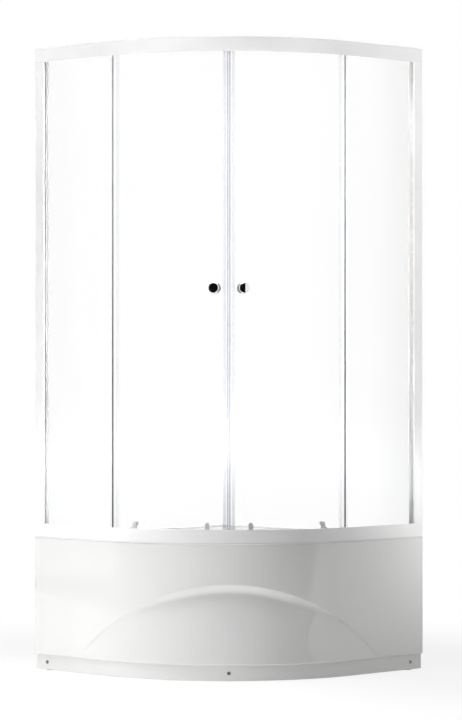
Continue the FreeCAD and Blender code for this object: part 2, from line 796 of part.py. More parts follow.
def make_jamb():
    """Upright between the rails: hollow towards the wall, with a glazing slot towards the pane."""
    inner_slot = jamb_face_inner + jamb_glazing_width
    leg = inner_slot + jamb_wall
    web = jamb_web_from_wall
    slot_floor = web + jamb_wall
    hollow = jamb_depth - jamb_wall
    past_channel = channel_wall + wall_gap
    edge = jamb_edge_round
    face = jamb_face_inner
    corners = [(frame_inset, wall_gap, 0), (frame_inset, jamb_face_width, edge), (face, jamb_face_width, 0),
               (face, slot_floor, 0), (inner_slot, slot_floor, 0), (inner_slot, jamb_inner_leg, 0),
               (leg, jamb_inner_leg, 0),
               (leg, slot_floor, 0), (jamb_depth, slot_floor, 0), (jamb_depth, past_channel, 0),
               (hollow, past_channel, 0), (hollow, web, 0), (face, web, 0), (face, wall_gap, 0)]
    return wall_upright(corners, bottom_rail_top, top_rail_bottom)


def make_gasket():
    """Rubber channel that beds the pane's edge in the jamb."""
    inner_slot = jamb_face_inner + jamb_glazing_width
    floor = jamb_web_from_wall + jamb_wall
    mouth = jamb_face_width + gasket_lip
    block = wall_box(jamb_face_inner, inner_slot, floor, mouth, bottom_rail_top, top_rail_bottom)
    slot = wall_box(pane_inset - seat_gap, pane_inner + seat_gap, floor + gasket_bed, mouth + overrun,
                    bottom_rail_top - overrun, top_rail_bottom + overrun)
    return block.cut(slot)


def make_pane():
    """Flat fixed pane, from the jamb to just past the start of the bend."""
    return wall_box(pane_inset, pane_inner, pane_start, pane_end, pane_bottom, pane_top)


def make_setting_blocks():
    """Plastic blocks in the sill's groove that carry the panes."""
    outer = fascia_inner + setting_block_side_gap
    inner = groove_inner - setting_block_side_gap
    half = setting_block_length / 2
    floor = rim_top + bottom_base_thickness
    blocks = []
    for place in (pane_start + setting_block_from_pane_end, pane_end - setting_block_from_pane_end):
        blocks.append(wall_box(outer, inner, place - half, place + half, floor, pane_bottom))
    return with_mirror(blocks)


def make_wall_channel():
    """Channel screwed to the wall inside the jamb, with a drilled flange towards the cabin."""
    far_leg = channel_inset + channel_width
    near_side = channel_inset + channel_wall
    far_side = far_leg - channel_wall
    corners = [(channel_inset, 0, 0), (channel_inset, channel_leg, 0), (near_side, channel_leg, 0),
               (near_side, channel_wall, 0), (far_side, channel_wall, 0), (far_side, channel_leg, 0),
               (far_leg, channel_leg, 0), (far_leg, channel_wall, 0),
               (channel_flange_end, channel_wall, 0), (channel_flange_end, 0, 0)]
    low = bottom_rail_top + channel_end_gap
    high = top_rail_bottom - channel_end_gap
    channel = wall_upright(corners, low, high)
    holes = []
    for height in (low + wall_hole_end_distance, high - wall_hole_end_distance):
        start = Vector(half_side - wall_hole_inset, half_side - channel_wall - overrun, height)
        holes.append(Part.makeCylinder(wall_hole_radius, channel_wall + 2 * overrun, start, Vector(0, 1, 0)))
    return channel.cut(holes)


def key_axis():
    """Inset and distance from the wall of the corner keys' screws."""
    return key_inset + key_thickness / 2, key_from_wall + key_width / 2


def key_rod(radius, low, high):
    """Cylinder on the right-hand corner keys' axis."""
    inset, reach = key_axis()
    return Part.makeCylinder(radius, high - low, Vector(half_side - inset, half_side - reach, low))


def key_screw_holes():
    """Clearance holes through both roller ledges for the corner keys' screws."""
    holes = []
    past = overrun / 2
    for ledge in (bottom_ledge, top_ledge):
        holes.append(key_rod(key_screw_radius + fit_gap, ledge - rail_wall - past, ledge + past))
    return with_mirror(holes)


def make_corner_keys():
    """Blocks inside the jambs that tie them to the rails."""
    ceiling = top_ledge - rail_wall
    keys = []
    inner = key_inset + key_thickness
    far = key_from_wall + key_width
    for low, high in ((bottom_ledge, bottom_ledge + key_length), (ceiling - key_length, ceiling)):
        key = wall_box(key_inset, inner, key_from_wall, far, low, high)
        keys.append(key.cut(key_rod(key_screw_radius + fit_gap, low - overrun, high + overrun)))
    return with_mirror(keys)


def make_key_screws():
    """Screws from the roller ledges into the corner keys."""
    under = bottom_ledge - rail_wall
    lower = key_rod(key_screw_head_radius, under - key_screw_head_height, under)
    lower = lower.fuse(key_rod(key_screw_radius, under, bottom_ledge + key_screw_grip))
    upper = key_rod(key_screw_head_radius, top_ledge, top_ledge + key_screw_head_height)
    upper = upper.fuse(key_rod(key_screw_radius, top_ledge - rail_wall - key_screw_grip, top_ledge))
    return with_mirror([lower.removeSplitter(), upper.removeSplitter()])


# Right-hand door; the left-hand one mirrors it

def make_door_glass():
    """Curved pane with its bracket and knob holes."""
    pane = ring_sector(door_outer_radius, door_inner_radius, door_bottom, door_top,
                       door_lead_angle, door_trail_angle)
    holes = []
    places = [(angle, height) for angle in roller_angles for height in (lower_bolt_height, upper_bolt_height)]
    for angle, height in places + [(knob_angle, knob_height)]:
        hole = front_rod(glass_hole_radius, door_inset - overrun, door_inner + overrun, height)
        holes.append(hole.rotated(Vector(), up, angle))
    return on_front(pane.cut(holes), 0)


def seal_carrier(start, end):
    """Flexible channel that grips an upright edge of the door, from one angle to another."""
    outside = door_outer_radius + seal_leg
    inside = door_inner_radius - seal_leg
    return ring_sector(outside, inside, door_bottom, door_top, start, end)


def seal_slot(start, end):
    """Room for the glass in a seal."""
    return ring_sector(door_outer_radius + seat_gap, door_inner_radius - seat_gap, door_bottom - overrun,
                       door_top + overrun, start, end)


def angle_of(length):
    """Angle that a length along the door's outer face takes up."""
    return math.degrees(length / door_outer_radius)


def magnet_box(gap):
    """Room for the magnet in the closing seal, or the magnet itself with a gap all round."""
    middle = door_inset + door_glass / 2
    near = seal_face_gap + magnet_cover + gap
    size = (magnet_thickness - 2 * gap, magnet_width - 2 * gap, door_top - door_bottom)
    return Part.makeBox(*size, Vector(near, middle - magnet_width / 2 + gap - bend_radius, door_bottom))


def make_magnet_seal():
    """Closing seal on the leading edge, with a pocket for the magnet and a flat closing face."""
    carrier = seal_carrier(-door_lead_angle, door_lead_angle + angle_of(seal_grip))
    carrier = carrier.cut(seal_slot(door_lead_angle - angle_of(fit_gap), door_trail_angle))
    beyond = Part.makeBox(side, side, overall_height, Vector(seal_face_gap - side, -side, 0))
    return on_front(carrier.cut([beyond, magnet_box(0)]), 0)


def make_magnet():
    """Flexible magnet in the closing seal."""
    return on_front(magnet_box(fit_gap), 0)


def make_edge_seal():
    """Seal on the trailing edge, with a fin that leans out behind the fixed pane."""
    end = door_trail_angle + angle_of(seal_web)
    carrier = seal_carrier(door_trail_angle - angle_of(seal_grip), end)
    carrier = carrier.cut(seal_slot(0, door_trail_angle + angle_of(fit_gap)))
    root = door_outer_radius + seal_leg / 2
    tip = root + edge_fin_length
    corners = [(-edge_fin_thickness, root, 0), (0, root, 0), (edge_fin_side, tip, 0),
               (edge_fin_side - edge_fin_thickness, tip, 0)]
    fin = Part.Face(rounded_wire(corners, lambda x, reach: Vector(x, -reach, door_bottom)))
    fin_top = top_rail_bottom - edge_fin_rail_gap
    fin = fin.extrude(up * (fin_top - door_bottom)).rotated(Vector(), up, end)
    return on_front(carrier.fuse(fin).removeSplitter(), 0)


def knob(face_inset, outward, radius):
    """Turned knob that stands on a glass face, outward or inward, with a blind hole for its bolt."""
    corners = [(0, 0, 0), (0, knob_base_radius, knob_base_round),
               (knob_base_length, knob_base_radius, knob_base_round),
               (knob_neck_length, knob_neck_radius, knob_neck_round),
               (knob_length - knob_rim_length, radius, knob_base_round),
               (knob_length, radius, knob_rim_round), (knob_length, 0, 0)]
    direction = -1 if outward else 1
    start = face_inset - bend_radius
    place = lambda along, reach: Vector(reach, start + direction * along, knob_height)
    axis = Vector(0, direction, 0)
    body = Part.Face(rounded_wire(corners, place)).revolve(Vector(0, start, knob_height), axis, full_turn)
    hole = Part.makeCylinder(knob_bolt_radius + fit_gap, knob_bolt_depth, Vector(0, start, knob_height), axis)
    return on_front(body.cut(hole), knob_angle)


def make_outer_knob():
    """Knob on the outside of the door."""
    return knob(door_inset - seat_gap, True, knob_radius)


def make_inner_knob():
    """Knob on the inside of the door."""
    return knob(door_inner + sag(door_inner_radius, knob_base_radius) + seat_gap, False, inner_knob_radius)


def make_knob_bolt():
    """Stud that joins the two knobs through the glass."""
    reach = knob_bolt_depth - fit_gap
    rod = front_rod(knob_bolt_radius, door_inset - reach, door_inner + reach, knob_height)
    return on_front(rod, knob_angle)


def bracket(wheel_height, bolt_height):
    """Roller bracket on the outer face of the glass, between its wheel's axis and its bolt's axis."""
    half = bracket_width / 2
    low = min(wheel_height, bolt_height) - bracket_end
    high = max(wheel_height, bolt_height) + bracket_end
    corners = [(-half, low, half), (half, low, half), (half, high, half), (-half, high, half)]
    outside = bracket_inset - bend_radius
    face = Part.Face(rounded_wire(corners, lambda x, z: Vector(x, outside, z)))
    plate = face.extrude(Vector(0, bracket_thickness, 0))
    plate = round_edges(plate, bracket_edge_round, lambda edge: edge.BoundBox.YMax < outside + same_place)
    pin_floor = bracket_inset + roller_pin_seat + fit_gap
    pin_hole = front_rod(roller_pin_radius + fit_gap, bracket_inset - overrun, pin_floor, wheel_height)
    bolt_floor = bracket_inset + bracket_thickness - bracket_bolt_seat - fit_gap
    bolt_hole = front_rod(bracket_bolt_radius + fit_gap, bolt_floor, door_inner, bolt_height)
    return plate.cut([pin_hole, bolt_hole])


def make_brackets(wheel_height, bolt_height):
    """The pair of brackets on one edge of the door."""
    return [on_front(bracket(wheel_height, bolt_height), angle) for angle in roller_angles]


def roller_pin(wheel_inset, wheel_height):
    """Axle pin: seat in the bracket, shoulder, running length and a head in the wheel's recess."""
    outer_face = wheel_inset - wheel_width / 2
    inner_face = wheel_inset + wheel_width / 2
    head_inner = outer_face + wheel_recess_depth - wheel_side_gap
    seat = front_rod(roller_pin_radius, head_inner - seat_gap, bracket_inset + roller_pin_seat, wheel_height)
    shoulder = front_rod(roller_shoulder_radius, inner_face + wheel_side_gap, bracket_inset - seat_gap,
                         wheel_height)
    head = front_rod(roller_pin_head_radius, head_inner - roller_pin_head_height, head_inner, wheel_height)
    return seat.fuse([shoulder, head]).removeSplitter()


def make_roller_pins():
    """The four axle pins of the door."""
    pins = []
    for angle in roller_angles:
        pins.append(on_front(roller_pin(lower_wheel_inset, lower_wheel_height), angle))
        pins.append(on_front(roller_pin(upper_wheel_inset, upper_wheel_height), angle))
    return pins


def make_bracket_bolts():
    """Round-headed bolts that clamp the brackets through the glass from inside."""
    face = door_inner + sag(door_inner_radius, bracket_bolt_head_radius) + seat_gap
    bolts = []
    for height in (lower_bolt_height, upper_bolt_height):
        head = front_rod(bracket_bolt_head_radius, face, face + bracket_bolt_head_height, height)
        flat = face - bend_radius + same_place
        head = round_edges(head, bracket_bolt_head_round, lambda edge: edge.BoundBox.YMin > flat)
        tip = bracket_inset + bracket_thickness - bracket_bolt_seat
        shank = front_rod(bracket_bolt_radius, tip, face, height)
        bolts += [on_front(head.fuse(shank).removeSplitter(), angle) for angle in roller_angles]
    return bolts


def make_wheel(wheel_inset, wheel_height, angle):
    """Nylon wheel with a recess for its pin's head."""
    outer_face = wheel_inset - wheel_width / 2
    inner_face = wheel_inset + wheel_width / 2
    wheel = front_rod(wheel_radius, outer_face, inner_face, wheel_height)
    wheel = round_edges(wheel, wheel_edge_round, lambda edge: is_circle(edge, wheel_radius))
    outside = outer_face - overrun
    bore = front_rod(roller_pin_radius + wheel_bore_gap, outside, inner_face + overrun, wheel_height)
    recess = front_rod(wheel_recess_radius, outside, outer_face + wheel_recess_depth, wheel_height)
    return on_front(wheel.cut([bore, recess]), angle)


def door_parts():
    """Pieces of the right-hand door by their plain names."""
    near, far = roller_angles
    return {
        "door_glass": make_door_glass(),
        "magnet_seal": make_magnet_seal(),
        "magnet_strip": make_magnet(),
        "edge_seal": make_edge_seal(),
        "outer_knob": make_outer_knob(),
        "inner_knob": make_inner_knob(),
        "knob_bolt": make_knob_bolt(),
        "upper_brackets": make_brackets(upper_wheel_height, upper_bolt_height),
        "lower_brackets": make_brackets(lower_wheel_height, lower_bolt_height),
        "roller_pins": make_roller_pins(),
        "bracket_bolts": make_bracket_bolts(),
        "upper_centre_wheel": make_wheel(upper_wheel_inset, upper_wheel_height, near),
        "upper_jamb_wheel": make_wheel(upper_wheel_inset, upper_wheel_height, far),
        "lower_centre_wheel": make_wheel(lower_wheel_inset, lower_wheel_height, near),
        "lower_jamb_wheel": make_wheel(lower_wheel_inset, lower_wheel_height, far),
    }


def frame_side_parts():
    """Pieces of the right-hand fixed side by their plain names."""
    return {
        "wall_channel": make_wall_channel(),
        "jamb": make_jamb(),
        "glazing_gasket": make_gasket(),
        "fixed_glass": make_pane(),
    }


def common_parts():
    """Pieces that both sides share."""
    return {
        "tray": make_tray(),
        "base_board": make_board(),
        "front_apron": make_apron(),
        "plinth": make_plinth(),
        "plinth_screws": make_plinth_screws(),
        "plinth_brackets": make_plinth_brackets(),
        "main_bearer": make_main_bearer(),
        "cross_bearers": make_cross_bearers(),
        "rim_posts": make_posts(),
        "foot_studs": make_studs(),
        "foot_pads": make_foot_pads(),
        "foot_nuts": make_foot_nuts(),
        "drain_flange": make_drain_flange(),
        "drain_cover": make_drain_cover(),
        "drain_gasket": make_drain_gasket(),
        "drain_trap": make_trap(),
        "bottom_rail": make_bottom_rail(),
        "top_rail": make_top_rail(),
        "track_stops": make_track_stops(),
        "setting_blocks": make_setting_blocks(),
        "corner_keys": make_corner_keys(),
        "corner_key_screws": make_key_screws(),
    }


def save(name, piece):
    """Writes one node, whose pieces are separate solids."""
    solids = []
    for shape in piece if isinstance(piece, list) else [piece]:
        solids += shape.Solids
    shape = solids[0] if len(solids) == 1 else Part.makeCompound(solids)
    shape.exportStep("parts/" + name + ".step")


def main():
    """Builds every piece and writes it to its own file."""
    os.makedirs("parts", exist_ok=True)
    for name, piece in common_parts().items():
        save(name, piece)
    for name, piece in list(frame_side_parts().items()) + list(door_parts().items()):
        pieces = piece if isinstance(piece, list) else [piece]
        save("right_" + name, pieces)
        save("left_" + name, [mirrored(shape) for shape in pieces])


main()
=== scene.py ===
"""Corner shower enclosure: its formed apron, turned knobs and screws, finishes, studio and camera.

Lengths are in metres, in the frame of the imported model: the room's walls are at -X and +Y, the
curved front faces +X and -Y, and z = 0 is the floor. "Across" is the distance to the right of the
plane of symmetry, seen from the front, and "outward" is the distance in front of the middle.
"""

import math
from typing import NamedTuple

import bmesh
import bpy
from bpy.props import FloatProperty, FloatVectorProperty, IntProperty, PointerProperty
from mathutils import Matrix, Vector


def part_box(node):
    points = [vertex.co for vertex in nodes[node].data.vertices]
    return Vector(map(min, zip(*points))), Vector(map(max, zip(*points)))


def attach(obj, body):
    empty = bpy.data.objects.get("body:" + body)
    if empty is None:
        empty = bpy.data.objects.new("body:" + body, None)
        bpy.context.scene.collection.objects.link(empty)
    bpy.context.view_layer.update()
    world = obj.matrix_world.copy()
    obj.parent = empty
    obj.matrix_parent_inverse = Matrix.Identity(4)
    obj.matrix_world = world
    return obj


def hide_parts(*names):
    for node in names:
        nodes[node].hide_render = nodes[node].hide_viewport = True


bl_info = {
    "name": "Corner shower enclosure",
    "version": (1, 0, 0),
    "blender": (4, 5, 0),
    "location": "View3D > Sidebar > Shower",
    "description": "Dresses the frame of a corner shower enclosure and sets up its studio",
    "category": "Add Mesh",
}

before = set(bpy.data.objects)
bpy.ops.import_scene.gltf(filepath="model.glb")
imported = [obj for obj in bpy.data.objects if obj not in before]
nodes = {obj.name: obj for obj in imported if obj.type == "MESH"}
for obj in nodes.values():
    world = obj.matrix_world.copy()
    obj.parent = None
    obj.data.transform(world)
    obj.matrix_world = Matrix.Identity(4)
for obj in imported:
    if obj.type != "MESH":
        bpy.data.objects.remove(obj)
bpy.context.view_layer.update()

FULL_TURN = 2 * math.pi
HALF_TURN = FULL_TURN / 2
QUARTER_TURN = FULL_TURN / 4
UP = Vector((0, 0, 1))
OUTWARD = Vector((1, -1, 0)).normalized()
ACROSS = Vector((1, 1, 0)).normalized()
SIDES = {"right": 1, "left": -1}
half_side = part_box("tray")[1].x
apron_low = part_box("front_apron")[0].z
apron_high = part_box("front_apron")[1].z

# How far the rows of the apron's mesh gather at its bottom, crease and top, from 0 to 1
ROW_GATHERING = 0.8
# Least power of the curve from the crease to the recess floor, and the least depth it allows for
LEAST_STEEPNESS = 1.5
LEAST_DEPTH = 0.0001
# Points along each curve of a knob's outline and of a screw's dome
KNOB_STEPS = 14
DOME_STEPS = 10
# Points of a turned piece that are nearer than this are merged
MERGE_DISTANCE = 0.00001

# How far from its free edge a fixed pane's painted dark cut edge shows in full, and where it ends
PANE_EDGE_FULL = 0.0012
PANE_EDGE_END = 0.0024
# Where the painted shade on a fixed pane starts, from the middle, and its share on the left-hand,
# better lit one
PANE_SHADE_START = 0.1
PANE_SHADE_LEFT = 0.45
# Where a door's painted dark leading edge starts to fade and ends, across, and how strongly it
# shows
DOOR_EDGE_FULL = 0.0112
DOOR_EDGE_END = 0.0116
DOOR_EDGE_SHARE = 0.4
# Where the trace of film on a door sets in and is full, across, and how strong it is
DOOR_HAZE_START = 0.2
DOOR_HAZE_END = 0.5
DOOR_HAZE_SHARE = 0.1
# Folded walls inside the closing seals: distance across, half width and strength of each line
SEAL_LINES = ((-0.0117, 0.0022, 0.45), (-0.0046, 0.0024, 0.7), (0.0013, 0.0026, 1.0))


def length(name, default, description):
    """A length that a user may change, in metres."""
    return FloatProperty(name=name, description=description, default=default, unit="LENGTH",
                         precision=4)


def number(name, default, description, **more):
    """A plain number that a user may change."""
    return FloatProperty(name=name, description=description, default=default, **more)


def count(name, default, description):
    """A number of faces that a user may change."""
    return IntProperty(name=name, description=description, default=default, min=5)


def colour(name, default, description):
    """A colour that a user may change."""
    return FloatVectorProperty(name=name, description=description, default=default, size=3,
                               min=0, max=1, subtype="COLOR")


def power(name, default, description):
    """The power of a lamp."""
    return FloatProperty(name=name, description=description, default=default, min=0, unit="POWER")


class ShowerApron(bpy.types.PropertyGroup):
    """Sizes of the formed front panel."""

    bend_radius: length("Bend radius", 0.5485, "Radius of the apron's outer face in plan")
    straight: length("Straight", 0.35, "Length of the straight run at each wall")
    wall: length("Wall", 0.004, "Thickness of the sheet")
    arch_peak: length("Arch peak", 0.305, "Height of the arched crease over the floor")
    arch_radius: length("Arch radius", 0.594, "Radius of the arched crease, seen from the front")
    slope_depth: length("Slope depth", 0.024, "Depth of the arch's wall if it stayed as steep")
    slope_run: length("Slope run", 0.029, "Width of the wall of the arch, seen from the front")
    crease_round: length("Crease rounding", 0.0006, "How softly the crease is formed")
    floor_round: length("Floor rounding", 0.0004, "How softly the two recess floors meet")
    shallow_depth: length("Shallow depth", 0.009, "Depth of the outer recess floor under the peak")
    deep_depth: length("Deep depth", 0.022, "Depth of the lens-shaped floor under the peak")
    deep_radius: length("Deep radius", 0.595, "Radius of the lens-shaped floor in plan")
    bottom_round: length("Bottom rounding", 0.005, "Radius of the turned-in bottom edge")
    columns: count("Columns", 380, "Faces along the front")
    half_rows: count("Half rows", 60, "Faces from bottom to crease and from crease to top")


class ShowerKnobs(bpy.types.PropertyGroup):
    """Sizes of the turned knobs."""

    angle: number("Angle", math.radians(5.2), "Angle of the knobs from the plane of symmetry",
                  subtype="ANGLE")
    height: length("Height", 1.242, "Height of the knobs over the floor")
    door_radius: length("Door radius", 0.513, "Radius of the doors' outer face in plan")
    glass: length("Glass", 0.005, "Thickness of the doors' glass")
    inner_gap: length("Inner gap", 0.00013, "Gap between the glass and an inner knob")
    outer_radius: length("Outer radius", 0.0165, "Radius of the outer knobs")
    inner_radius: length("Inner radius", 0.019, "Radius of the inner knobs")
    reach: length("Reach", 0.033, "How far a knob stands off the glass")
    base_radius: length("Base radius", 0.009, "Radius of the foot on the glass")
    foot: length("Foot", 0.0025, "Height of the foot on the glass")
    neck_radius: length("Neck radius", 0.0055, "Radius of the waist")
    waist: length("Waist", 0.012, "Distance of the waist from the glass")
    flare: number("Flare", 2.4, "How late the neck widens towards the rim")
    rim: length("Rim", 0.006, "Width of the knob's cylindrical rim")
    dome: length("Dome", 0.0009, "Height of the slightly domed front")
    edge: length("Edge", 0.0007, "Width of the foot's and the shoulder's small bevels")
    front_round: length("Front rounding", 0.0018, "Radius of the edge round the front")
    segments: count("Segments", 96, "Faces round a knob")


class ShowerScrews(bpy.types.PropertyGroup):
    """Sizes of the plinth's screws."""

    height: length("Height", 0.026, "Height of the screws over the floor")
    from_wall: length("From wall", 0.052, "Distance of the outer screws from the walls")
    plinth_inset: length("Plinth inset", 0.009, "Set-back of the plinth from the tray's edge")
    seat: length("Seat", 0.00005, "Gap between the plinth's face and a head")
    head_radius: length("Head radius", 0.006, "Radius of the domed heads")
    head_height: length("Head height", 0.003, "Height of the domed heads")
    head_side: length("Head side", 0.0008, "Height of the heads' upright rim")
    shank_radius: length("Shank radius", 0.002, "Radius of the shanks")
    shank_length: length("Shank length", 0.014, "Length of the shanks behind the plinth's face")
    socket_reach: length("Socket reach", 0.004, "Length of each arm of the cross-shaped socket")
    socket_half: length("Socket half width", 0.0011, "Half the width of the socket's arms")
    socket_depth: length("Socket depth", 0.0014, "Depth of the socket")
    segments: count("Segments", 48, "Faces round a screw")


class ShowerColours(bpy.types.PropertyGroup):
    """Colours of the finishes."""

    acrylic: colour("Acrylic", (0.785, 0.785, 0.775), "Sanitary acrylic of the tray and apron")
    coat: colour("Frame coat", (0.855, 0.855, 0.855), "Powder coat of the rails and jambs")
    glass: colour("Glass", (0.86, 0.9, 0.9), "Tint of the glass")
    # Grey in the glass: painted shade on the fixed panes by the jambs, stronger on the right-hand
    # one, and a faint trace on the doors' trailing edges
    glass_shade_and_film: colour("Glass haze", (0.42, 0.43, 0.44), "Film on the fixed panes by the jambs")
    # Cut edges painted dark for the dark line that glass edges show, and painted lighter towards
    # the top where more light falls
    painted_dark_edge: colour("Glass edge", (0.02, 0.026, 0.026), "Cut edges of the glass")
    painted_light_edge_top: colour("Glass edge high", (0.2, 0.21, 0.21), "Cut edges towards the top")
    vinyl: colour("Vinyl", (0.74, 0.76, 0.86), "Clear seals")
    vinyl_line: colour("Vinyl line", (0.34, 0.36, 0.48), "Folded walls inside the clear seals")
    magnet: colour("Magnet", (0.66, 0.66, 0.7), "Flexible magnets")
    chrome: colour("Chrome", (0.86, 0.865, 0.87), "Knobs and drain")
    # Darkened nickel: a painted dark reflection that stands in for what the polished heads mirror
    screw: colour("Screw", (0.3, 0.3, 0.31), "Nickel plate of the plinth's screws")
    zinc: colour("Zinc", (0.6, 0.61, 0.63), "Plated steel under the tray")
    black_rubber: colour("Black rubber", (0.03, 0.03, 0.032), "Stops and drain gasket")
    grey_rubber: colour("Grey rubber", (0.86, 0.86, 0.87), "Glazing gaskets")
    black_plastic: colour("Black plastic", (0.035, 0.035, 0.038), "Foot pads and setting blocks")
    white_plastic: colour("White plastic", (0.8, 0.8, 0.79), "Drain trap")
    grey_plastic: colour("Grey plastic", (0.8, 0.81, 0.82), "Roller brackets")
    nylon: colour("Nylon", (0.8, 0.79, 0.74), "Wheels")
    board: colour("Board", (0.55, 0.4, 0.24), "Particle board under the basin")
    board_flake: colour("Board flake", (0.72, 0.58, 0.38), "Pale flakes in the board")


class ShowerStudio(bpy.types.PropertyGroup):
    """Camera, lamps and floor."""

    camera_distance: length("Camera distance", 9.845, "Camera in front of the front-most point")
    camera_height: length("Camera height", 1.0303, "Height of the level camera")
    lens: number("Lens", 156.3, "Focal length", unit="CAMERA")
    shift_x: number("Shift X", 0.0029, "Framing to the side")
    shift_y: number("Shift Y", -0.0072, "Framing in height")
    key: power("Key lamp", 12.5, "Soft box on the left")
    side: power("Side lamp", 14.5, "Wide soft box at the left, mirrored in the apron")
    top: power("Top lamp", 0.26, "Strip that faces the top rail")
    top_left: power("Top left lamp", 1.0, "Strip that faces the top rail's left-hand end")
    top_right: power("Top right lamp", 1.5, "Strip that faces the top rail's right-hand end")
    right: power("Right lamp", 0.7, "Narrow-beamed soft box in front on the right")
    inner_left: power("Inner left lamp", 1.2, "Narrow beam on the left-hand jamb's inner side")
    inner_right: power("Inner right lamp", 2.4, "Narrow beam on the right-hand jamb's inner side")
    rim: power("Rim lamp", 3.9, "Tall strip beside the right-hand jamb")
    close: power("Close lamp", 0.68, "Small soft box by the apron's right-hand end")
    overhead: power("Overhead lamp", 23.0, "Soft box that faces the floor in front")
    overhead_left: power("Overhead left lamp", 32.0, "Soft box that faces the floor on the left")
    back: power("Back lamp", 0.9, "Narrow beam through the doors on the tray's back rim")
    rear: power("Rear lamp", 30.0, "Soft box behind the room's corner")
    ambient: number("Ambient", 0.1, "Strength of the plain surroundings", min=0)
    floor: colour("Floor", (0.92, 0.92, 0.92), "Plain pale floor")
    floor_half: length("Floor half width", 30.0, "Half the width of the floor")
    floor_near: number("White share near", 0.8, "Share of plain white in the floor at the plinth",
                       min=0, max=1, subtype="FACTOR")
    floor_close: length("Floor close", 0.5, "Distance from the middle at which more white sets in")
    floor_fade: length("Floor fade", 2.2, "Distance from the middle at which it is plain white")
    backdrop: colour("Backdrop", (1.0, 1.0, 1.0), "Background as seen")
    card: colour("Card", (0.012, 0.012, 0.014), "Dark card that polished metal mirrors")
    card_distance: length("Card distance", 4.0, "How far the dark card stands in front")
    card_left: length("Card left", -1.87, "Left-hand edge of the dark card")
    card_right: length("Card right", 0.91, "Right-hand edge of the dark card")
    card_low: length("Card low", 0.17, "Lower edge of the dark card")
    card_high: length("Card high", 2.46, "Upper edge of the dark card")
    sheet_front: length("Sheet front", 1.17, "Where the dark floor sheet starts in front")
    sheet_right: length("Sheet right", 1.5, "How far the middle of its edge lies to the right")
    sheet_half: length("Sheet half width", 7.5, "Half the width of the dark floor sheet")
    sheet_lift: length("Sheet lift", 0.002, "Height of its edge over the floor")
    sheet_rise: length("Sheet rise", 0.6, "How far it rises to its far edge, two metres on")
    sheet_skew: number("Sheet skew", 0.34, "How far its edge runs forward towards the right")


SETTINGS = {"shower_apron": ShowerApron, "shower_knobs": ShowerKnobs,
            "shower_screws": ShowerScrews, "shower_colours": ShowerColours,
            "shower_studio": ShowerStudio}


class Lamp(NamedTuple):
    """Where a soft box hangs, what it faces and how it shines."""

    turn: float  # degrees to the right of the front
    reach: float  # distance from the middle
    height: float
    size: tuple  # width and height of the box
    aim: tuple  # the point that it faces, as (across, outward, height)
    spread: float = 180  # of its beam, in degrees
    mirrored: bool = False  # shows in gloss


LAMPS = {
    "key": Lamp(turn=-60, reach=3.4, height=1.2, size=(1.4, 2.2), aim=(0, 0, 0.8)),
    "side": Lamp(turn=-82, reach=3.2, height=1.2, size=(2.8, 2.2), aim=(0, 0, 0.8),
                 mirrored=True),
    "top": Lamp(turn=0, reach=3.0, height=2.35, size=(2.2, 0.4), aim=(0, 0, 2.1), spread=30),
    "top_left": Lamp(turn=-50, reach=3.0, height=2.35, size=(1.2, 0.4), aim=(0, 0, 2.1),
                     spread=30),
    "top_right": Lamp(turn=50, reach=3.0, height=2.35, size=(1.2, 0.4), aim=(0, 0, 2.1),
                      spread=30),
    "right": Lamp(turn=45, reach=3.6, height=1.25, size=(1.2, 1.1), aim=(0, 0, 1.25), spread=12),
    "inner_left": Lamp(turn=36.8, reach=3.22, height=0.95, size=(0.3, 1.2),
                       aim=(-0.62, 0.03, 1.44), spread=8),
    "inner_right": Lamp(turn=-36.8, reach=3.22, height=0.9, size=(0.3, 1.2),
                        aim=(0.62, 0.03, 1.37), spread=8),
    "rim": Lamp(turn=88, reach=1.15, height=1.4, size=(0.25, 1.5), aim=(0.6, 0.02, 1.4)),
    "close": Lamp(turn=88, reach=1.15, height=0.43, size=(0.25, 0.3), aim=(0.6, 0.02, 0.42),
                  spread=110),
    "overhead": Lamp(turn=0, reach=1.9, height=2.6, size=(3.0, 2.0), aim=(0, 1.9, 0), spread=70,
                     mirrored=True),
    "overhead_left": Lamp(turn=-60, reach=1.9, height=2.6, size=(2.0, 2.0),
                          aim=(-1.65, 0.95, 0), spread=70, mirrored=True),
    "back": Lamp(turn=0, reach=3.2, height=1.6, size=(1.2, 0.15), aim=(0, -0.55, 0.47), spread=6),
    "rear": Lamp(turn=180, reach=2.8, height=1.5, size=(2.2, 2.2), aim=(0, 0, 0.9),
                 mirrored=True),
}


class Value:
    """A shader socket that takes part in sums, so that shader maths reads as maths."""

    def __init__(self, book, socket):
        self.book = book
        self.socket = socket

    def maths(self, operation, *values):
        """The result of a Math node on these values."""
        return self.book.node("ShaderNodeMath", {"operation": operation}, dict(enumerate(values)))

    def __add__(self, other):
        return self.maths("ADD", self, other)

    def __radd__(self, other):
        return self.maths("ADD", other, self)

    def __sub__(self, other):
        return self.maths("SUBTRACT", self, other)

    def __rsub__(self, other):
        return self.maths("SUBTRACT", other, self)

    def __mul__(self, other):
        return self.maths("MULTIPLY", self, other)

    def __rmul__(self, other):
        return self.maths("MULTIPLY", other, self)

    def __pow__(self, other):
        return self.maths("POWER", self, other)

    def __abs__(self):
        return self.maths("ABSOLUTE", self)

    def least(self, other):
        """The smaller of two values."""
        return self.maths("MINIMUM", self, other)

    def most(self, other):
        """The larger of two values."""
        return self.maths("MAXIMUM", self, other)

    def rising(self, low, high):
        """0 below low, 1 above high and a smooth step between them."""
        sockets = {"Value": self, "From Min": low, "From Max": high}
        return self.book.node("ShaderNodeMapRange", {"interpolation_type": "SMOOTHSTEP"}, sockets)

    def within(self, middle, half_width):
        """1 at middle, falling smoothly to 0 at half_width from it."""
        return 1 - abs(self - middle).rising(0, half_width)


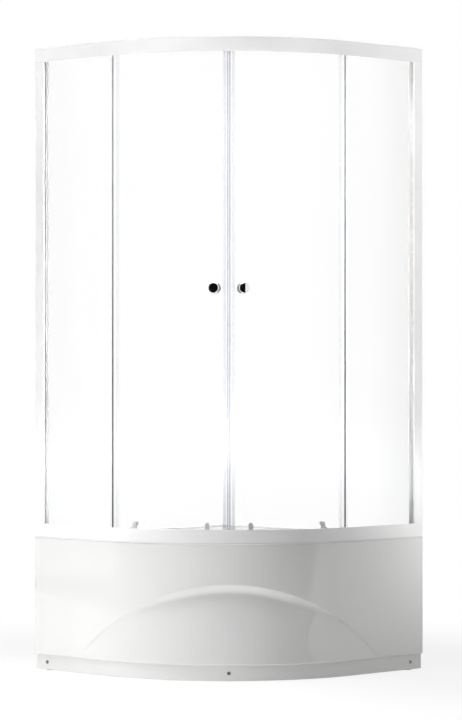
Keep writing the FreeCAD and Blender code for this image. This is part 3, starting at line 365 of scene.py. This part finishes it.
class NodeBook:
    """A node tree, with one way of adding nodes to it."""

    # Sockets of a Mix node that mixes colours, whose names are shared with its other types
    MIX_SHARE, MIX_FIRST, MIX_SECOND, MIX_RESULT = 0, 6, 7, 2

    def __init__(self, tree):
        self.tree = tree
        self.tree.nodes.clear()

    def node(self, kind, settings=None, sockets=None, output=0):
        """Adds a node with these settings and socket values, and gives one of its outputs."""
        made = self.tree.nodes.new(kind)
        for name, setting in (settings or {}).items():
            setattr(made, name, setting)
        for key, value in (sockets or {}).items():
            if isinstance(value, Value):
                self.tree.links.new(value.socket, made.inputs[key])
            else:
                made.inputs[key].default_value = value
        return Value(self, made.outputs[output]) if made.outputs else None

    def mix(self, share, first, second):
        """A colour between two colours."""
        sockets = {self.MIX_SHARE: share, self.MIX_FIRST: rgba(first),
                   self.MIX_SECOND: rgba(second)}
        return self.node("ShaderNodeMix", {"data_type": "RGBA"}, sockets, output=self.MIX_RESULT)

    def place(self):
        """Position on the object."""
        return self.node("ShaderNodeTexCoord", output="Object")

    def parts(self, vector):
        """The three numbers of a vector."""
        split = self.node("ShaderNodeSeparateXYZ", sockets={0: vector}).socket.node
        return [Value(self, socket) for socket in split.outputs]

    def stretched(self, vector, scales):
        """Position scaled differently along each axis."""
        return self.node("ShaderNodeMapping", {"vector_type": "POINT"},
                         {"Vector": vector, "Scale": scales})

    def noise(self, vector, scale, detail=2.0):
        """Smooth cloudy pattern from 0 to 1."""
        return self.node("ShaderNodeTexNoise",
                         sockets={"Vector": vector, "Scale": scale, "Detail": detail})

    def streaks(self, vector, scales, detail):
        """Smooth cloudy pattern from 0 to 1, with a scale of its own along each axis."""
        return self.noise(self.stretched(vector, scales), scale=1.0, detail=detail)

    def cells(self, vector, scale):
        """A plain number from 0 to 1 for each grain of a cell pattern."""
        cell = self.node("ShaderNodeTexVoronoi", sockets={"Vector": vector, "Scale": scale},
                         output="Color")
        return self.parts(cell)[0]

    def glancing(self, blend):
        """0 on a surface that faces the viewer, rising to 1 where it is seen at a slant."""
        return self.node("ShaderNodeLayerWeight", sockets={"Blend": blend}, output="Facing")

    def bump(self, height, depth, strength):
        """Surface normal from a height between 0 and 1, depth metres deep."""
        return self.node("ShaderNodeBump",
                         sockets={"Height": height, "Distance": depth, "Strength": strength})

    def finish(self, shader, output="ShaderNodeOutputMaterial"):
        """Connects the last shader to the tree's output."""
        self.node(output, sockets={"Surface": shader})


def rgba(value):
    """A colour with full cover, or a value as it is."""
    return value if isinstance(value, Value) else (*value[:3], 1.0)


def toned(tone, share):
    """A colour with its channels times share, up to white."""
    return [min(1.0, share * channel) for channel in tone]


def new_finish(name):
    """An empty material and its node book."""
    material = bpy.data.materials.new(name)
    material.use_nodes = True
    return material, NodeBook(material.node_tree)


def surfaced(book, sockets):
    """Ends a material with the one main shader."""
    book.finish(book.node("ShaderNodeBsdfPrincipled", sockets=sockets))


def acrylic_finish(colours):
    """Glossy white sanitary acrylic with the faint waviness of a formed sheet."""
    material, book = new_finish("sanitary_acrylic")
    place = book.place()
    drift = book.noise(place, scale=3.5)
    smears = book.streaks(place, scales=(14.0, 14.0, 5.0), detail=4.0)
    wave = book.noise(place, scale=38.0, detail=1.0)
    cooler = [share * tone for share, tone in zip((0.975, 0.978, 0.98), colours.acrylic)]
    surfaced(book, {"Base Color": book.mix(drift.rising(0.35, 0.7), colours.acrylic, cooler),
                    "Roughness": 0.02 + 0.04 * smears.rising(0.45, 0.75), "IOR": 1.49,
                    "Coat Weight": 0.25, "Coat Roughness": 0.03,
                    "Normal": book.bump(wave, depth=0.0002, strength=0.2)})
    return material


def coat_finish(colours):
    """White powder coat with its fine orange peel."""
    material, book = new_finish("white_powder_coat")
    place = book.place()
    drift = book.noise(place, scale=6.0)
    peel = book.noise(place, scale=420.0, detail=1.0)
    dust = book.noise(place, scale=30.0, detail=3.0)
    duller = toned(colours.coat, 0.97)
    surfaced(book, {"Base Color": book.mix(drift.rising(0.4, 0.75), colours.coat, duller),
                    "Roughness": 0.3 + 0.1 * dust,
                    "Normal": book.bump(peel, depth=0.00012, strength=0.3)})
    return material


def glass_finish(name, colours, edge, haze):
    """Clear glass that shows more at a slant, with painted dark cut edges, and grey where masks put
    it: painted shade on the fixed panes, a faint trace on the doors.
    """
    material, book = new_finish(name)
    place = book.place()
    x, y, z = book.parts(place)
    cut = edge(x, y)
    # Painted shade on the fixed panes by the jambs; a faint trace on the doors
    film_and_shade = haze(x, y)
    film = book.streaks(place, scales=(9.0, 9.0, 2.5), detail=3.0)
    slant = book.glancing(0.35) ** 4.0
    cover = 0.012 + 0.01 * film.rising(0.4, 0.8) + 0.2 * slant + 0.09 * film_and_shade
    pane = book.mix((2.0 * film_and_shade).least(1.0), colours.glass, colours.glass_shade_and_film)
    # Painted dark cut edges, painted lighter towards the top
    rim = book.mix(z.rising(0.9, 1.9), colours.painted_dark_edge, colours.painted_light_edge_top)
    surfaced(book, {"Base Color": book.mix(cut, pane, rim), "Roughness": 0.03 + 0.04 * film,
                    "IOR": 1.52, "Alpha": (cover + 0.95 * cut).least(1.0)})
    return material


def across_of(x, y):
    """Distance across of a surface point."""
    return (x + y) * ACROSS.x


def fixed_pane_edge(x, y):
    """1 on the free upright edge of a fixed pane, which is painted dark."""
    end = max(-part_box("left_fixed_glass")[1].x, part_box("right_fixed_glass")[0].y)
    return 1 - abs(x).least(abs(y)).rising(end + PANE_EDGE_FULL, end + PANE_EDGE_END)


def fixed_pane_painted_shade(x, y):
    """Painted shade on a fixed pane, from none at its free edge to most at the jamb, less on the
    better lit left-hand one.
    """
    # Painted shade, rising towards the jamb, stronger on the right-hand pane
    film = abs(x).least(abs(y)).rising(PANE_SHADE_START, half_side + PANE_SHADE_START)
    right_hand = (x + y).rising(-PANE_SHADE_START, PANE_SHADE_START)
    return film * (PANE_SHADE_LEFT + (1 - PANE_SHADE_LEFT) * right_hand)


def door_pane_edge(x, y):
    """Leading edge of a door pane, painted dark, which shows through the closing seal."""
    return (1 - abs(across_of(x, y)).rising(DOOR_EDGE_FULL, DOOR_EDGE_END)) * DOOR_EDGE_SHARE


def door_pane_haze(x, y):
    """No film on a door pane beyond a trace at its trailing edge."""
    return abs(across_of(x, y)).rising(DOOR_HAZE_START, DOOR_HAZE_END) * DOOR_HAZE_SHARE


def vinyl_finish(colours):
    """Clear vinyl seal whose folded walls show as fine upright lines."""
    material, book = new_finish("clear_vinyl")
    place = book.place()
    across = across_of(*book.parts(place)[:2])
    lines = sum(across.within(middle, half) * strength for middle, half, strength in SEAL_LINES)
    haze = book.streaks(place, scales=(60.0, 60.0, 3.0), detail=2.0)
    surfaced(book, {"Base Color": book.mix(lines, colours.vinyl, colours.vinyl_line),
                    "Roughness": 0.18 + 0.12 * haze, "Alpha": 0.1 + 0.05 * haze + 0.12 * lines})
    return material


def edge_vinyl_finish(colours):
    """Nearly clear vinyl of the thin seals on the doors' trailing edges."""
    material, book = new_finish("clear_edge_vinyl")
    haze = book.streaks(book.place(), scales=(60.0, 60.0, 3.0), detail=2.0)
    slant = book.glancing(0.4) ** 3.0
    surfaced(book, {"Base Color": rgba(colours.vinyl), "Roughness": 0.15 + 0.1 * haze,
                    "Alpha": 0.06 + 0.05 * haze + 0.25 * slant})
    return material


def moulded_finish(name, tone, roughness, grain, depth):
    """Matt moulded plastic or rubber: fine grain, slight mottling."""
    material, book = new_finish(name)
    place = book.place()
    fine = book.noise(place, scale=grain, detail=3.0)
    cloud = book.noise(place, scale=grain / 14)
    surfaced(book, {"Base Color": book.mix(cloud.rising(0.35, 0.7), tone, toned(tone, 0.86)),
                    "Roughness": roughness + 0.12 * (fine - 0.5),
                    "Normal": book.bump(fine, depth, strength=0.5)})
    return material


def plated_finish(name, tone):
    """Polished plate with faint wiping marks."""
    material, book = new_finish(name)
    place = book.place()
    wiped = book.streaks(place, scales=(80.0, 80.0, 240.0), detail=3.0)
    haze = book.noise(place, scale=60.0)
    surfaced(book, {"Base Color": book.mix(haze.rising(0.4, 0.8), tone, toned(tone, 0.93)),
                    "Metallic": 1.0, "Roughness": 0.03 + 0.06 * wiped.rising(0.45, 0.8)})
    return material


def zinc_finish(colours):
    """Zinc-plated steel with its grain of dull and bright crystals."""
    material, book = new_finish("zinc_plate")
    place = book.place()
    crystal = book.cells(place, scale=170.0)
    drawn = book.noise(place, scale=260.0)
    surfaced(book, {"Base Color": book.mix(crystal, colours.zinc, toned(colours.zinc, 0.72)),
                    "Metallic": 0.9, "Roughness": 0.32 + 0.2 * crystal,
                    "Normal": book.bump(drawn, depth=0.00008, strength=0.4)})
    return material


def board_finish(colours):
    """Raw particle board: pale flakes pressed in darker glue."""
    material, book = new_finish("particle_board")
    place = book.place()
    flakes = book.cells(book.stretched(place, (1.0, 2.2, 3.0)), scale=110.0)
    dust = book.noise(place, scale=400.0, detail=3.0)
    pale = flakes * dust.rising(0.2, 0.7)
    surfaced(book, {"Base Color": book.mix(pale, colours.board, colours.board_flake),
                    "Roughness": 0.75 + 0.15 * dust,
                    "Normal": book.bump(flakes + dust, depth=0.0003, strength=0.5)})
    return material


def dress(node_names, material):
    """Gives CAD nodes a finish."""
    for name in node_names:
        nodes[name].data.materials.clear()
        nodes[name].data.materials.append(material)


def both(*names):
    """The right-hand and left-hand nodes of these names."""
    return [side + "_" + name for side in SIDES for name in names]


def object_of(name, bm, material):
    """Turns a bmesh into an object of the scene with this finish."""
    mesh = bpy.data.meshes.new(name)
    bm.to_mesh(mesh)
    bm.free()
    mesh.materials.append(material)
    made = bpy.data.objects.new(name, mesh)
    bpy.context.scene.collection.objects.link(made)
    return made


def finished_piece(name, bm, material, slot, body, *replaced):
    """Turns a bmesh into a piece that rides on a body and stands for the nodes it replaces."""
    piece = object_of(name, bm, material)
    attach(piece, body)
    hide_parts(*replaced)
    return piece


def smooth_but_sharp(bm, angle):
    """Smooth shading that keeps the edges sharper than angle."""
    for face in bm.faces:
        face.smooth = True
    for edge in bm.edges:
        edge.smooth = edge.calc_face_angle(HALF_TURN) < angle


def soft_most(first, second, blend):
    """The larger of two numbers, rounded where they meet."""
    return 0.5 * (first + second + math.sqrt((first - second) ** 2 + blend ** 2))


def shares(steps):
    """Equal steps up to 1."""
    return [step / steps for step in range(1, steps + 1)]


def facing_at(turn):
    """Level direction at an angle to the right of the front."""
    return OUTWARD * math.cos(turn) + ACROSS * math.sin(turn)


def bend_centre(apron):
    """Centre of the front's bend in plan."""
    return Vector((apron.straight - half_side, half_side - apron.straight, 0))


def edge_radius(apron):
    """Radius of the tray's edge in the bend."""
    return 2 * half_side - apron.straight


def front_point(sizes, along):
    """Point of the apron's outer face in plan, along it from the middle, and the way it faces."""
    half_bend = sizes.bend_radius * QUARTER_TURN / 2
    turn = max(-half_bend, min(half_bend, along)) / sizes.bend_radius
    facing = facing_at(turn)
    tangent = ACROSS * math.cos(turn) - OUTWARD * math.sin(turn)
    past = along - turn * sizes.bend_radius
    return bend_centre(sizes) + facing * sizes.bend_radius + tangent * past, facing


def crease_height(sizes, across):
    """Height of the arched crease, and past the arch's ends of a level line that carries it on."""
    rise = math.sqrt(max(0.0, sizes.arch_radius ** 2 - across ** 2))
    level = apron_low + 3 * sizes.bottom_round
    return max(level, sizes.arch_peak - sizes.arch_radius + rise)


def gathered(share):
    """A share from 0 to 1, moved so that equal steps come closer together towards both ends."""
    return share - ROW_GATHERING * math.sin(FULL_TURN * share) / FULL_TURN


def row_height(sizes, across, row):
    """Height of a row of the sheet: -1 is at the bottom, 0 on the crease and 1 at the top."""
    crease = crease_height(sizes, across)
    if row < 0:
        return apron_low + (crease - apron_low) * gathered(row + 1)
    return crease + (apron_high - crease) * gathered(row)


def bend_drop(radius, across):
    """How far an arc in plan falls back from its front-most point."""
    return radius - math.sqrt(radius ** 2 - across ** 2)


def recess_depth(sizes, across, height):
    """How far the formed face lies behind the plain front, square to the front's chord."""
    arch_centre = sizes.arch_peak - sizes.arch_radius
    inside = sizes.arch_radius - math.hypot(across, height - arch_centre)
    if inside < -sizes.slope_run:
        return 0.0
    share = min(1.0, soft_most(0.0, inside, sizes.crease_round) / sizes.slope_run)
    lean = (height - apron_low) / (sizes.arch_peak - apron_low)
    bulge = 0.0
    if abs(across) < sizes.bend_radius:
        bulge = bend_drop(sizes.deep_radius, across) - bend_drop(sizes.bend_radius, across)
    shallow = sizes.shallow_depth * math.sqrt(max(0.0, lean))
    floor = soft_most(shallow, sizes.deep_depth * lean + bulge, sizes.floor_round)
    steepness = max(LEAST_STEEPNESS, sizes.slope_depth / max(floor, LEAST_DEPTH))
    return floor * (1 - (1 - share) ** steepness)


def turned_in(sizes, height):
    """How far the sheet curves in at its bottom edge."""
    below = max(0.0, apron_low + sizes.bottom_round - height)
    return bend_drop(sizes.bottom_round, below)


class SHOWER_OT_apron(bpy.types.Operator):
    """Forms the front apron with its arched recess from one sheet"""

    bl_idname = "shower.apron"
    bl_label = "Apron"

    def execute(self, context):
        sizes = context.scene.shower_apron
        total = 2 * sizes.straight + sizes.bend_radius * QUARTER_TURN
        bm = bmesh.new()
        bmesh.ops.create_grid(bm, x_segments=sizes.columns, y_segments=2 * sizes.half_rows,
                              size=1.0)
        for vert in bm.verts:
            plain, facing = front_point(sizes, vert.co.x * total / 2)
            across = plain.dot(ACROSS)
            height = row_height(sizes, across, vert.co.y)
            formed = plain - OUTWARD * recess_depth(sizes, across, height)
            vert.co = formed - facing * turned_in(sizes, height) + UP * height
        bmesh.ops.recalc_face_normals(bm, faces=bm.faces)
        bm.faces.ensure_lookup_table()
        if bm.faces[0].normal.dot(OUTWARD - UP) < 0:
            bmesh.ops.reverse_faces(bm, faces=bm.faces)
        bmesh.ops.solidify(bm, geom=bm.faces[:], thickness=sizes.wall)
        smooth_but_sharp(bm, angle=math.radians(50))
        material = acrylic_finish(context.scene.shower_colours)
        finished_piece("formed_apron", bm, material, "acrylic", "frame_and_tray", "front_apron")
        dress(["tray", "plinth"], material)
        return {"FINISHED"}


def knob_profile(sizes, radius):
    """Half outline of a knob as (distance from the glass, radius), from its foot to its front."""
    foot_top = sizes.base_radius - sizes.edge
    shoulder = sizes.reach - sizes.rim
    crown = sizes.reach - sizes.dome
    outline = [(0.0, 0.0), (0.0, foot_top), (sizes.edge, sizes.base_radius),
               (sizes.foot - sizes.edge, sizes.base_radius), (sizes.foot, foot_top)]
    for share in shares(KNOB_STEPS):
        narrow = sizes.neck_radius + (foot_top - sizes.neck_radius) * (1 - share) ** 2
        outline.append((sizes.foot + (sizes.waist - sizes.foot) * share, narrow))
    for share in shares(KNOB_STEPS):
        flared = (radius - sizes.edge - sizes.neck_radius) * share ** sizes.flare
        outline.append((sizes.waist + (shoulder - sizes.waist) * share, sizes.neck_radius + flared))
    outline += [(shoulder + sizes.edge, radius), (crown - sizes.front_round, radius)]
    for share in shares(KNOB_STEPS // 2):
        turn = QUARTER_TURN * share
        outline.append((crown - sizes.front_round * (1 - math.sin(turn)),
                        radius - sizes.front_round * (1 - math.cos(turn))))
    for share in shares(KNOB_STEPS):
        outline.append((sizes.reach - sizes.dome * (1 - share) ** 2,
                        (radius - sizes.front_round) * (1 - share)))
    return outline


def turned(outline, start, axis, segments):
    """Closed solid of revolution from an outline of (distance along the axis, radius) points."""
    bm = bmesh.new()
    side = axis.cross(UP).normalized()
    verts = [bm.verts.new(start + axis * along + side * reach) for along, reach in outline]
    for first, second in zip(verts, verts[1:]):
        bm.edges.new((first, second))
    bmesh.ops.spin(bm, geom=bm.verts[:] + bm.edges[:], cent=start, axis=axis, dvec=Vector(),
                   angle=FULL_TURN, steps=segments, use_merge=True, use_duplicate=False)
    bmesh.ops.remove_doubles(bm, verts=bm.verts, dist=MERGE_DISTANCE)
    bmesh.ops.recalc_face_normals(bm, faces=bm.faces)
    return bm


class SHOWER_OT_knobs(bpy.types.Operator):
    """Turns the four chrome knobs"""

    bl_idname = "shower.knobs"
    bl_label = "Knobs"

    def execute(self, context):
        sizes = context.scene.shower_knobs
        material = plated_finish("polished_chrome", context.scene.shower_colours.chrome)
        centre = bend_centre(context.scene.shower_apron) + UP * sizes.height
        inner_start = sizes.door_radius - sizes.glass - sizes.inner_gap
        for side, hand in SIDES.items():
            out = facing_at(sizes.angle * hand)
            for name, start, axis, radius in (
                    ("outer_knob", centre + out * sizes.door_radius, out, sizes.outer_radius),
                    ("inner_knob", centre + out * inner_start, -out, sizes.inner_radius)):
                bm = turned(knob_profile(sizes, radius), start, axis, sizes.segments)
                smooth_but_sharp(bm, angle=math.radians(35))
                finished_piece("turned_" + side + "_" + name, bm, material, "chrome",
                               side + "_door", side + "_" + name)
        dress(["drain_flange", "drain_cover"], material)
        return {"FINISHED"}


def screw_profile(sizes):
    """Half outline of a screw as (distance from the plinth's face, radius), from tip to crown."""
    rim = sizes.seat + sizes.head_side
    outline = [(-sizes.shank_length, 0.0), (-sizes.shank_length, sizes.shank_radius),
               (sizes.seat, sizes.shank_radius), (sizes.seat, sizes.head_radius),
               (rim, sizes.head_radius)]
    for share in shares(DOME_STEPS):
        turn = QUARTER_TURN * share
        outline.append((rim + (sizes.head_height - sizes.head_side) * math.sin(turn),
                        sizes.head_radius * math.cos(turn)))
    return outline


def sink_socket(bm, sizes, crown, axis):
    """Sinks a cross-shaped socket into a screw's head and gives its faces the second finish,
    painted shade.
    """
    arms = (axis.cross(UP).normalized(), UP)
    reach, half = sizes.socket_reach, sizes.socket_half
    for arm in arms:
        for offset in (-reach, -half, half, reach):
            bmesh.ops.bisect_plane(bm, geom=bm.verts[:] + bm.edges[:] + bm.faces[:],
                                   plane_co=crown + arm * offset, plane_no=arm)
    sunk = []
    for face in bm.faces:
        middle = face.calc_center_median() - crown
        near, far = sorted(abs(middle.dot(arm)) for arm in arms)
        if middle.dot(axis) > -sizes.head_height / 2 and near < half and far < reach:
            sunk.append(face)
    walls = bmesh.ops.inset_region(bm, faces=sunk, thickness=half / 4, depth=-sizes.socket_depth,
                                   use_even_offset=True, use_boundary=True)
    # The socket's faces take the dark second finish, painted shade in the recess
    for face in sunk + walls["faces"]:
        face.material_index = 1


class SHOWER_OT_screws(bpy.types.Operator):
    """Turns the plinth's three domed screws"""

    bl_idname = "shower.screws"
    bl_label = "Plinth screws"

    def execute(self, context):
        sizes = context.scene.shower_screws
        apron = context.scene.shower_apron
        colours = context.scene.shower_colours
        face = half_side - sizes.plinth_inset
        from_wall = half_side - sizes.from_wall
        front = bend_centre(apron) + OUTWARD * (edge_radius(apron) - sizes.plinth_inset)
        places = ((front, OUTWARD), (Vector((face, from_wall, 0)), Vector((1, 0, 0))),
                  (Vector((-from_wall, -face, 0)), Vector((0, -1, 0))))
        whole = bmesh.new()
        for place, axis in places:
            start = place + UP * sizes.height
            bm = turned(screw_profile(sizes), start, axis, sizes.segments)
            sink_socket(bm, sizes, start + axis * sizes.head_height, axis)
            single = bpy.data.meshes.new("single_screw")
            bm.to_mesh(single)
            bm.free()
            whole.from_mesh(single)
            bpy.data.meshes.remove(single)
        smooth_but_sharp(whole, angle=math.radians(40))
        # Nickel darkened as a painted dark reflection on the polished heads
        nickel = plated_finish("polished_nickel", colours.screw)
        piece = finished_piece("domed_plinth_screws", whole, nickel, "chrome", "frame_and_tray",
                               "plinth_screws")
        # Dark moulded plastic as painted shade inside the sockets
        piece.data.materials.append(moulded_finish("socket_grime", colours.black_plastic,
                                                   roughness=0.6, grain=900.0, depth=0.00005))
        return {"FINISHED"}


class SHOWER_OT_frame(bpy.types.Operator):
    """Coats the rails, jambs and wall channels"""

    bl_idname = "shower.frame"
    bl_label = "Frame"

    def execute(self, context):
        material = coat_finish(context.scene.shower_colours)
        dress(["bottom_rail", "top_rail"] + both("jamb", "wall_channel"), material)
        return {"FINISHED"}


class SHOWER_OT_glass(bpy.types.Operator):
    """Gives the panes their glass, which lets the light of the lamps through"""

    bl_idname = "shower.glass"
    bl_label = "Glass"

    def execute(self, context):
        colours = context.scene.shower_colours
        dress(both("fixed_glass"),
              glass_finish("fixed_pane_glass", colours, fixed_pane_edge, fixed_pane_painted_shade))
        dress(both("door_glass"),
              glass_finish("door_pane_glass", colours, door_pane_edge, door_pane_haze))
        for name in both("fixed_glass", "door_glass"):
            nodes[name].visible_shadow = False
        return {"FINISHED"}


class SHOWER_OT_seals(bpy.types.Operator):
    """Gives the seals, magnets, gaskets and stops their finish"""

    bl_idname = "shower.seals"
    bl_label = "Seals"

    def execute(self, context):
        colours = context.scene.shower_colours
        dress(both("magnet_seal"), vinyl_finish(colours))
        dress(both("edge_seal"), edge_vinyl_finish(colours))
        dress(both("magnet_strip"), moulded_finish("flexible_magnet", colours.magnet,
                                                   roughness=0.6, grain=900.0, depth=0.0001))
        dress(both("glazing_gasket"), moulded_finish("glazing_rubber", colours.grey_rubber,
                                                     roughness=0.6, grain=700.0, depth=0.0001))
        dress(["track_stops", "drain_gasket"],
              moulded_finish("black_rubber", colours.black_rubber,
                             roughness=0.65, grain=700.0, depth=0.0001))
        return {"FINISHED"}


class SHOWER_OT_rollers(bpy.types.Operator):
    """Gives the roller brackets, their bolts and the wheels their finish"""

    bl_idname = "shower.rollers"
    bl_label = "Rollers"

    def execute(self, context):
        colours = context.scene.shower_colours
        dress(both("upper_brackets", "lower_brackets", "bracket_bolts"),
              moulded_finish("grey_moulded_plastic", colours.grey_plastic,
                             roughness=0.45, grain=800.0, depth=0.00012))
        wheels = [row + "_" + place + "_wheel"
                  for row in ("upper", "lower") for place in ("centre", "jamb")]
        dress(both(*wheels), moulded_finish("natural_nylon", colours.nylon,
                                            roughness=0.4, grain=600.0, depth=0.00008))
        return {"FINISHED"}


class SHOWER_OT_underside(bpy.types.Operator):
    """Gives the board, bearers, feet, trap and small fixings their finish"""

    bl_idname = "shower.underside"
    bl_label = "Underside"

    def execute(self, context):
        colours = context.scene.shower_colours
        steel = ["plinth_brackets", "main_bearer", "cross_bearers", "rim_posts", "foot_studs",
                 "foot_nuts", "corner_keys", "corner_key_screws"]
        dress(steel + both("knob_bolt", "roller_pins"), zinc_finish(colours))
        dress(["base_board"], board_finish(colours))
        dress(["foot_pads", "setting_blocks"],
              moulded_finish("black_moulded_plastic", colours.black_plastic,
                             roughness=0.5, grain=500.0, depth=0.00015))
        dress(["drain_trap"], moulded_finish("white_moulded_plastic", colours.white_plastic,
                                             roughness=0.4, grain=500.0, depth=0.0001))
        return {"FINISHED"}


def soft_box(name, watts, lamp):
    """Hangs a soft box in the studio."""
    data = bpy.data.lights.new(name, "AREA")
    data.shape = "RECTANGLE"
    data.size, data.size_y = lamp.size
    data.energy = watts
    data.spread = math.radians(lamp.spread)
    made = bpy.data.objects.new(name, data)
    bpy.context.scene.collection.objects.link(made)
    place = facing_at(math.radians(lamp.turn)) * lamp.reach + UP * lamp.height
    across, outward, height = lamp.aim
    target = ACROSS * across + OUTWARD * outward + UP * height
    facing = (target - place).to_track_quat("-Z", "Y").to_matrix().to_4x4()
    made.matrix_world = Matrix.Translation(place) @ facing
    made.visible_camera = False
    made.visible_glossy = lamp.mirrored


def seen_plainly(book):
    """1 for what the camera sees directly, in a reflection or through glass."""
    path = book.node("ShaderNodeLightPath").socket.node
    camera, glossy, through = (Value(book, path.outputs[name]) for name in (
        "Is Camera Ray", "Is Glossy Ray", "Is Transmission Ray"))
    return camera.most(glossy).most(through)


def staged_sheet(name, placing, material):
    """A flat sheet of the studio, two units wide before it is placed."""
    bm = bmesh.new()
    bmesh.ops.create_grid(bm, x_segments=1, y_segments=1, size=1.0, matrix=placing)
    sheet = object_of(name, bm, material)
    return sheet


class SHOWER_OT_stage(bpy.types.Operator):
    """Sets up the floor, the backdrop, the lamps, the dark cards and the camera"""

    bl_idname = "shower.stage"
    bl_label = "Stage"

    def execute(self, context):
        studio = context.scene.shower_studio
        self.lay_floor(studio)
        self.light_surroundings(context, studio)
        for name, lamp in LAMPS.items():
            soft_box(name + "_lamp", getattr(studio, name), lamp)
        self.stand_cards(studio)
        self.place_camera(context, studio)
        context.scene.view_settings.view_transform = "Standard"
        return {"FINISHED"}

    def lay_floor(self, studio):
        """A matt floor that keeps the shadow, and is seen whiter with the distance."""
        material, book = new_finish("pale_floor")
        place = book.place()
        tone = book.mix(book.noise(place, scale=2.0), studio.floor, toned(studio.floor, 1.02))
        matt = book.node("ShaderNodeBsdfDiffuse", sockets={"Color": tone})
        plain = book.node("ShaderNodeEmission",
                          sockets={"Color": rgba(studio.backdrop), "Strength": 1.0})
        x, y, _ = book.parts(place)
        fade = ((x * x + y * y) ** 0.5).rising(studio.floor_close, studio.floor_fade)
        white = studio.floor_near + (1 - studio.floor_near) * fade
        sockets = {0: seen_plainly(book) * white, 1: matt, 2: plain}
        book.finish(book.node("ShaderNodeMixShader", sockets=sockets))
        staged_sheet("studio_floor", Matrix.Scale(studio.floor_half, 4), material)

    def light_surroundings(self, context, studio):
        """Faint light from all round, seen as a white backdrop."""
        world = bpy.data.worlds.new("plain_studio")
        context.scene.world = world
        world.use_nodes = True
        book = NodeBook(world.node_tree)
        soft, plain = (book.node("ShaderNodeBackground", sockets={
            "Color": rgba(studio.backdrop), "Strength": strength})
            for strength in (studio.ambient, 1.0))
        sockets = {0: seen_plainly(book), 1: soft, 2: plain}
        book.finish(book.node("ShaderNodeMixShader", sockets=sockets), "ShaderNodeOutputWorld")

    def stand_cards(self, studio):
        """A dark card and floor sheet that show only in gloss, as a studio's dark half does."""
        material, book = new_finish("dark_card")
        tone = book.mix(book.noise(book.place(), scale=400.0), studio.card, toned(studio.card, 1.5))
        book.finish(book.node("ShaderNodeBsdfDiffuse", sockets={"Color": tone}))

        middle = (OUTWARD * studio.card_distance
                  + ACROSS * (studio.card_left + studio.card_right) / 2
                  + UP * (studio.card_low + studio.card_high) / 2)
        half_width = ACROSS * (studio.card_right - studio.card_left) / 2
        half_height = UP * (studio.card_high - studio.card_low) / 2
        upright = Matrix((half_width, half_height, OUTWARD)).transposed().to_4x4()

        along_edge = ACROSS + OUTWARD * studio.sheet_skew
        half_depth = OUTWARD + UP * studio.sheet_rise / 2
        edge_middle = (OUTWARD * studio.sheet_front + along_edge * studio.sheet_right
                       + UP * studio.sheet_lift)
        sloping = Matrix((along_edge * studio.sheet_half, half_depth, UP)).transposed().to_4x4()

        for name, place, shape in (("dark_card", middle, upright),
                                   ("dark_floor_sheet", edge_middle + half_depth, sloping)):
            card = staged_sheet(name, Matrix.Translation(place) @ shape, material)
            card.visible_camera = card.visible_diffuse = False
            card.visible_transmission = card.visible_shadow = False

    def place_camera(self, context, studio):
        """A level camera in front, on the plane of symmetry."""
        apron = context.scene.shower_apron
        data = bpy.data.cameras.new("photo_camera")
        data.lens = studio.lens
        data.shift_x = studio.shift_x
        data.shift_y = studio.shift_y
        camera = bpy.data.objects.new("photo_camera", data)
        context.scene.collection.objects.link(camera)
        reach = edge_radius(apron) + studio.camera_distance
        camera.location = bend_centre(apron) + OUTWARD * reach + UP * studio.camera_height
        camera.rotation_euler = (QUARTER_TURN, 0, QUARTER_TURN / 2)
        context.scene.camera = camera


OPERATORS = (SHOWER_OT_apron, SHOWER_OT_knobs, SHOWER_OT_screws, SHOWER_OT_frame, SHOWER_OT_glass,
             SHOWER_OT_seals, SHOWER_OT_rollers, SHOWER_OT_underside, SHOWER_OT_stage)


class SHOWER_PT_panel(bpy.types.Panel):
    """Lists the steps that dress the enclosure"""

    bl_label = "Corner shower enclosure"
    bl_idname = "SHOWER_PT_panel"
    bl_space_type = "VIEW_3D"
    bl_region_type = "UI"
    bl_category = "Shower"

    def draw(self, context):
        for operator in OPERATORS:
            self.layout.operator(operator.bl_idname)


def register():
    for cls in (*SETTINGS.values(), *OPERATORS, SHOWER_PT_panel):
        bpy.utils.register_class(cls)
    for name, group in SETTINGS.items():
        setattr(bpy.types.Scene, name, PointerProperty(type=group))


def unregister():
    for name in SETTINGS:
        delattr(bpy.types.Scene, name)
    for cls in (SHOWER_PT_panel, *reversed(OPERATORS), *reversed(list(SETTINGS.values()))):
        bpy.utils.unregister_class(cls)


def main():
    register()
    for operator in OPERATORS:
        group, name = operator.bl_idname.split(".")
        getattr(getattr(bpy.ops, group), name)()


if __name__ == "__main__":
    main()
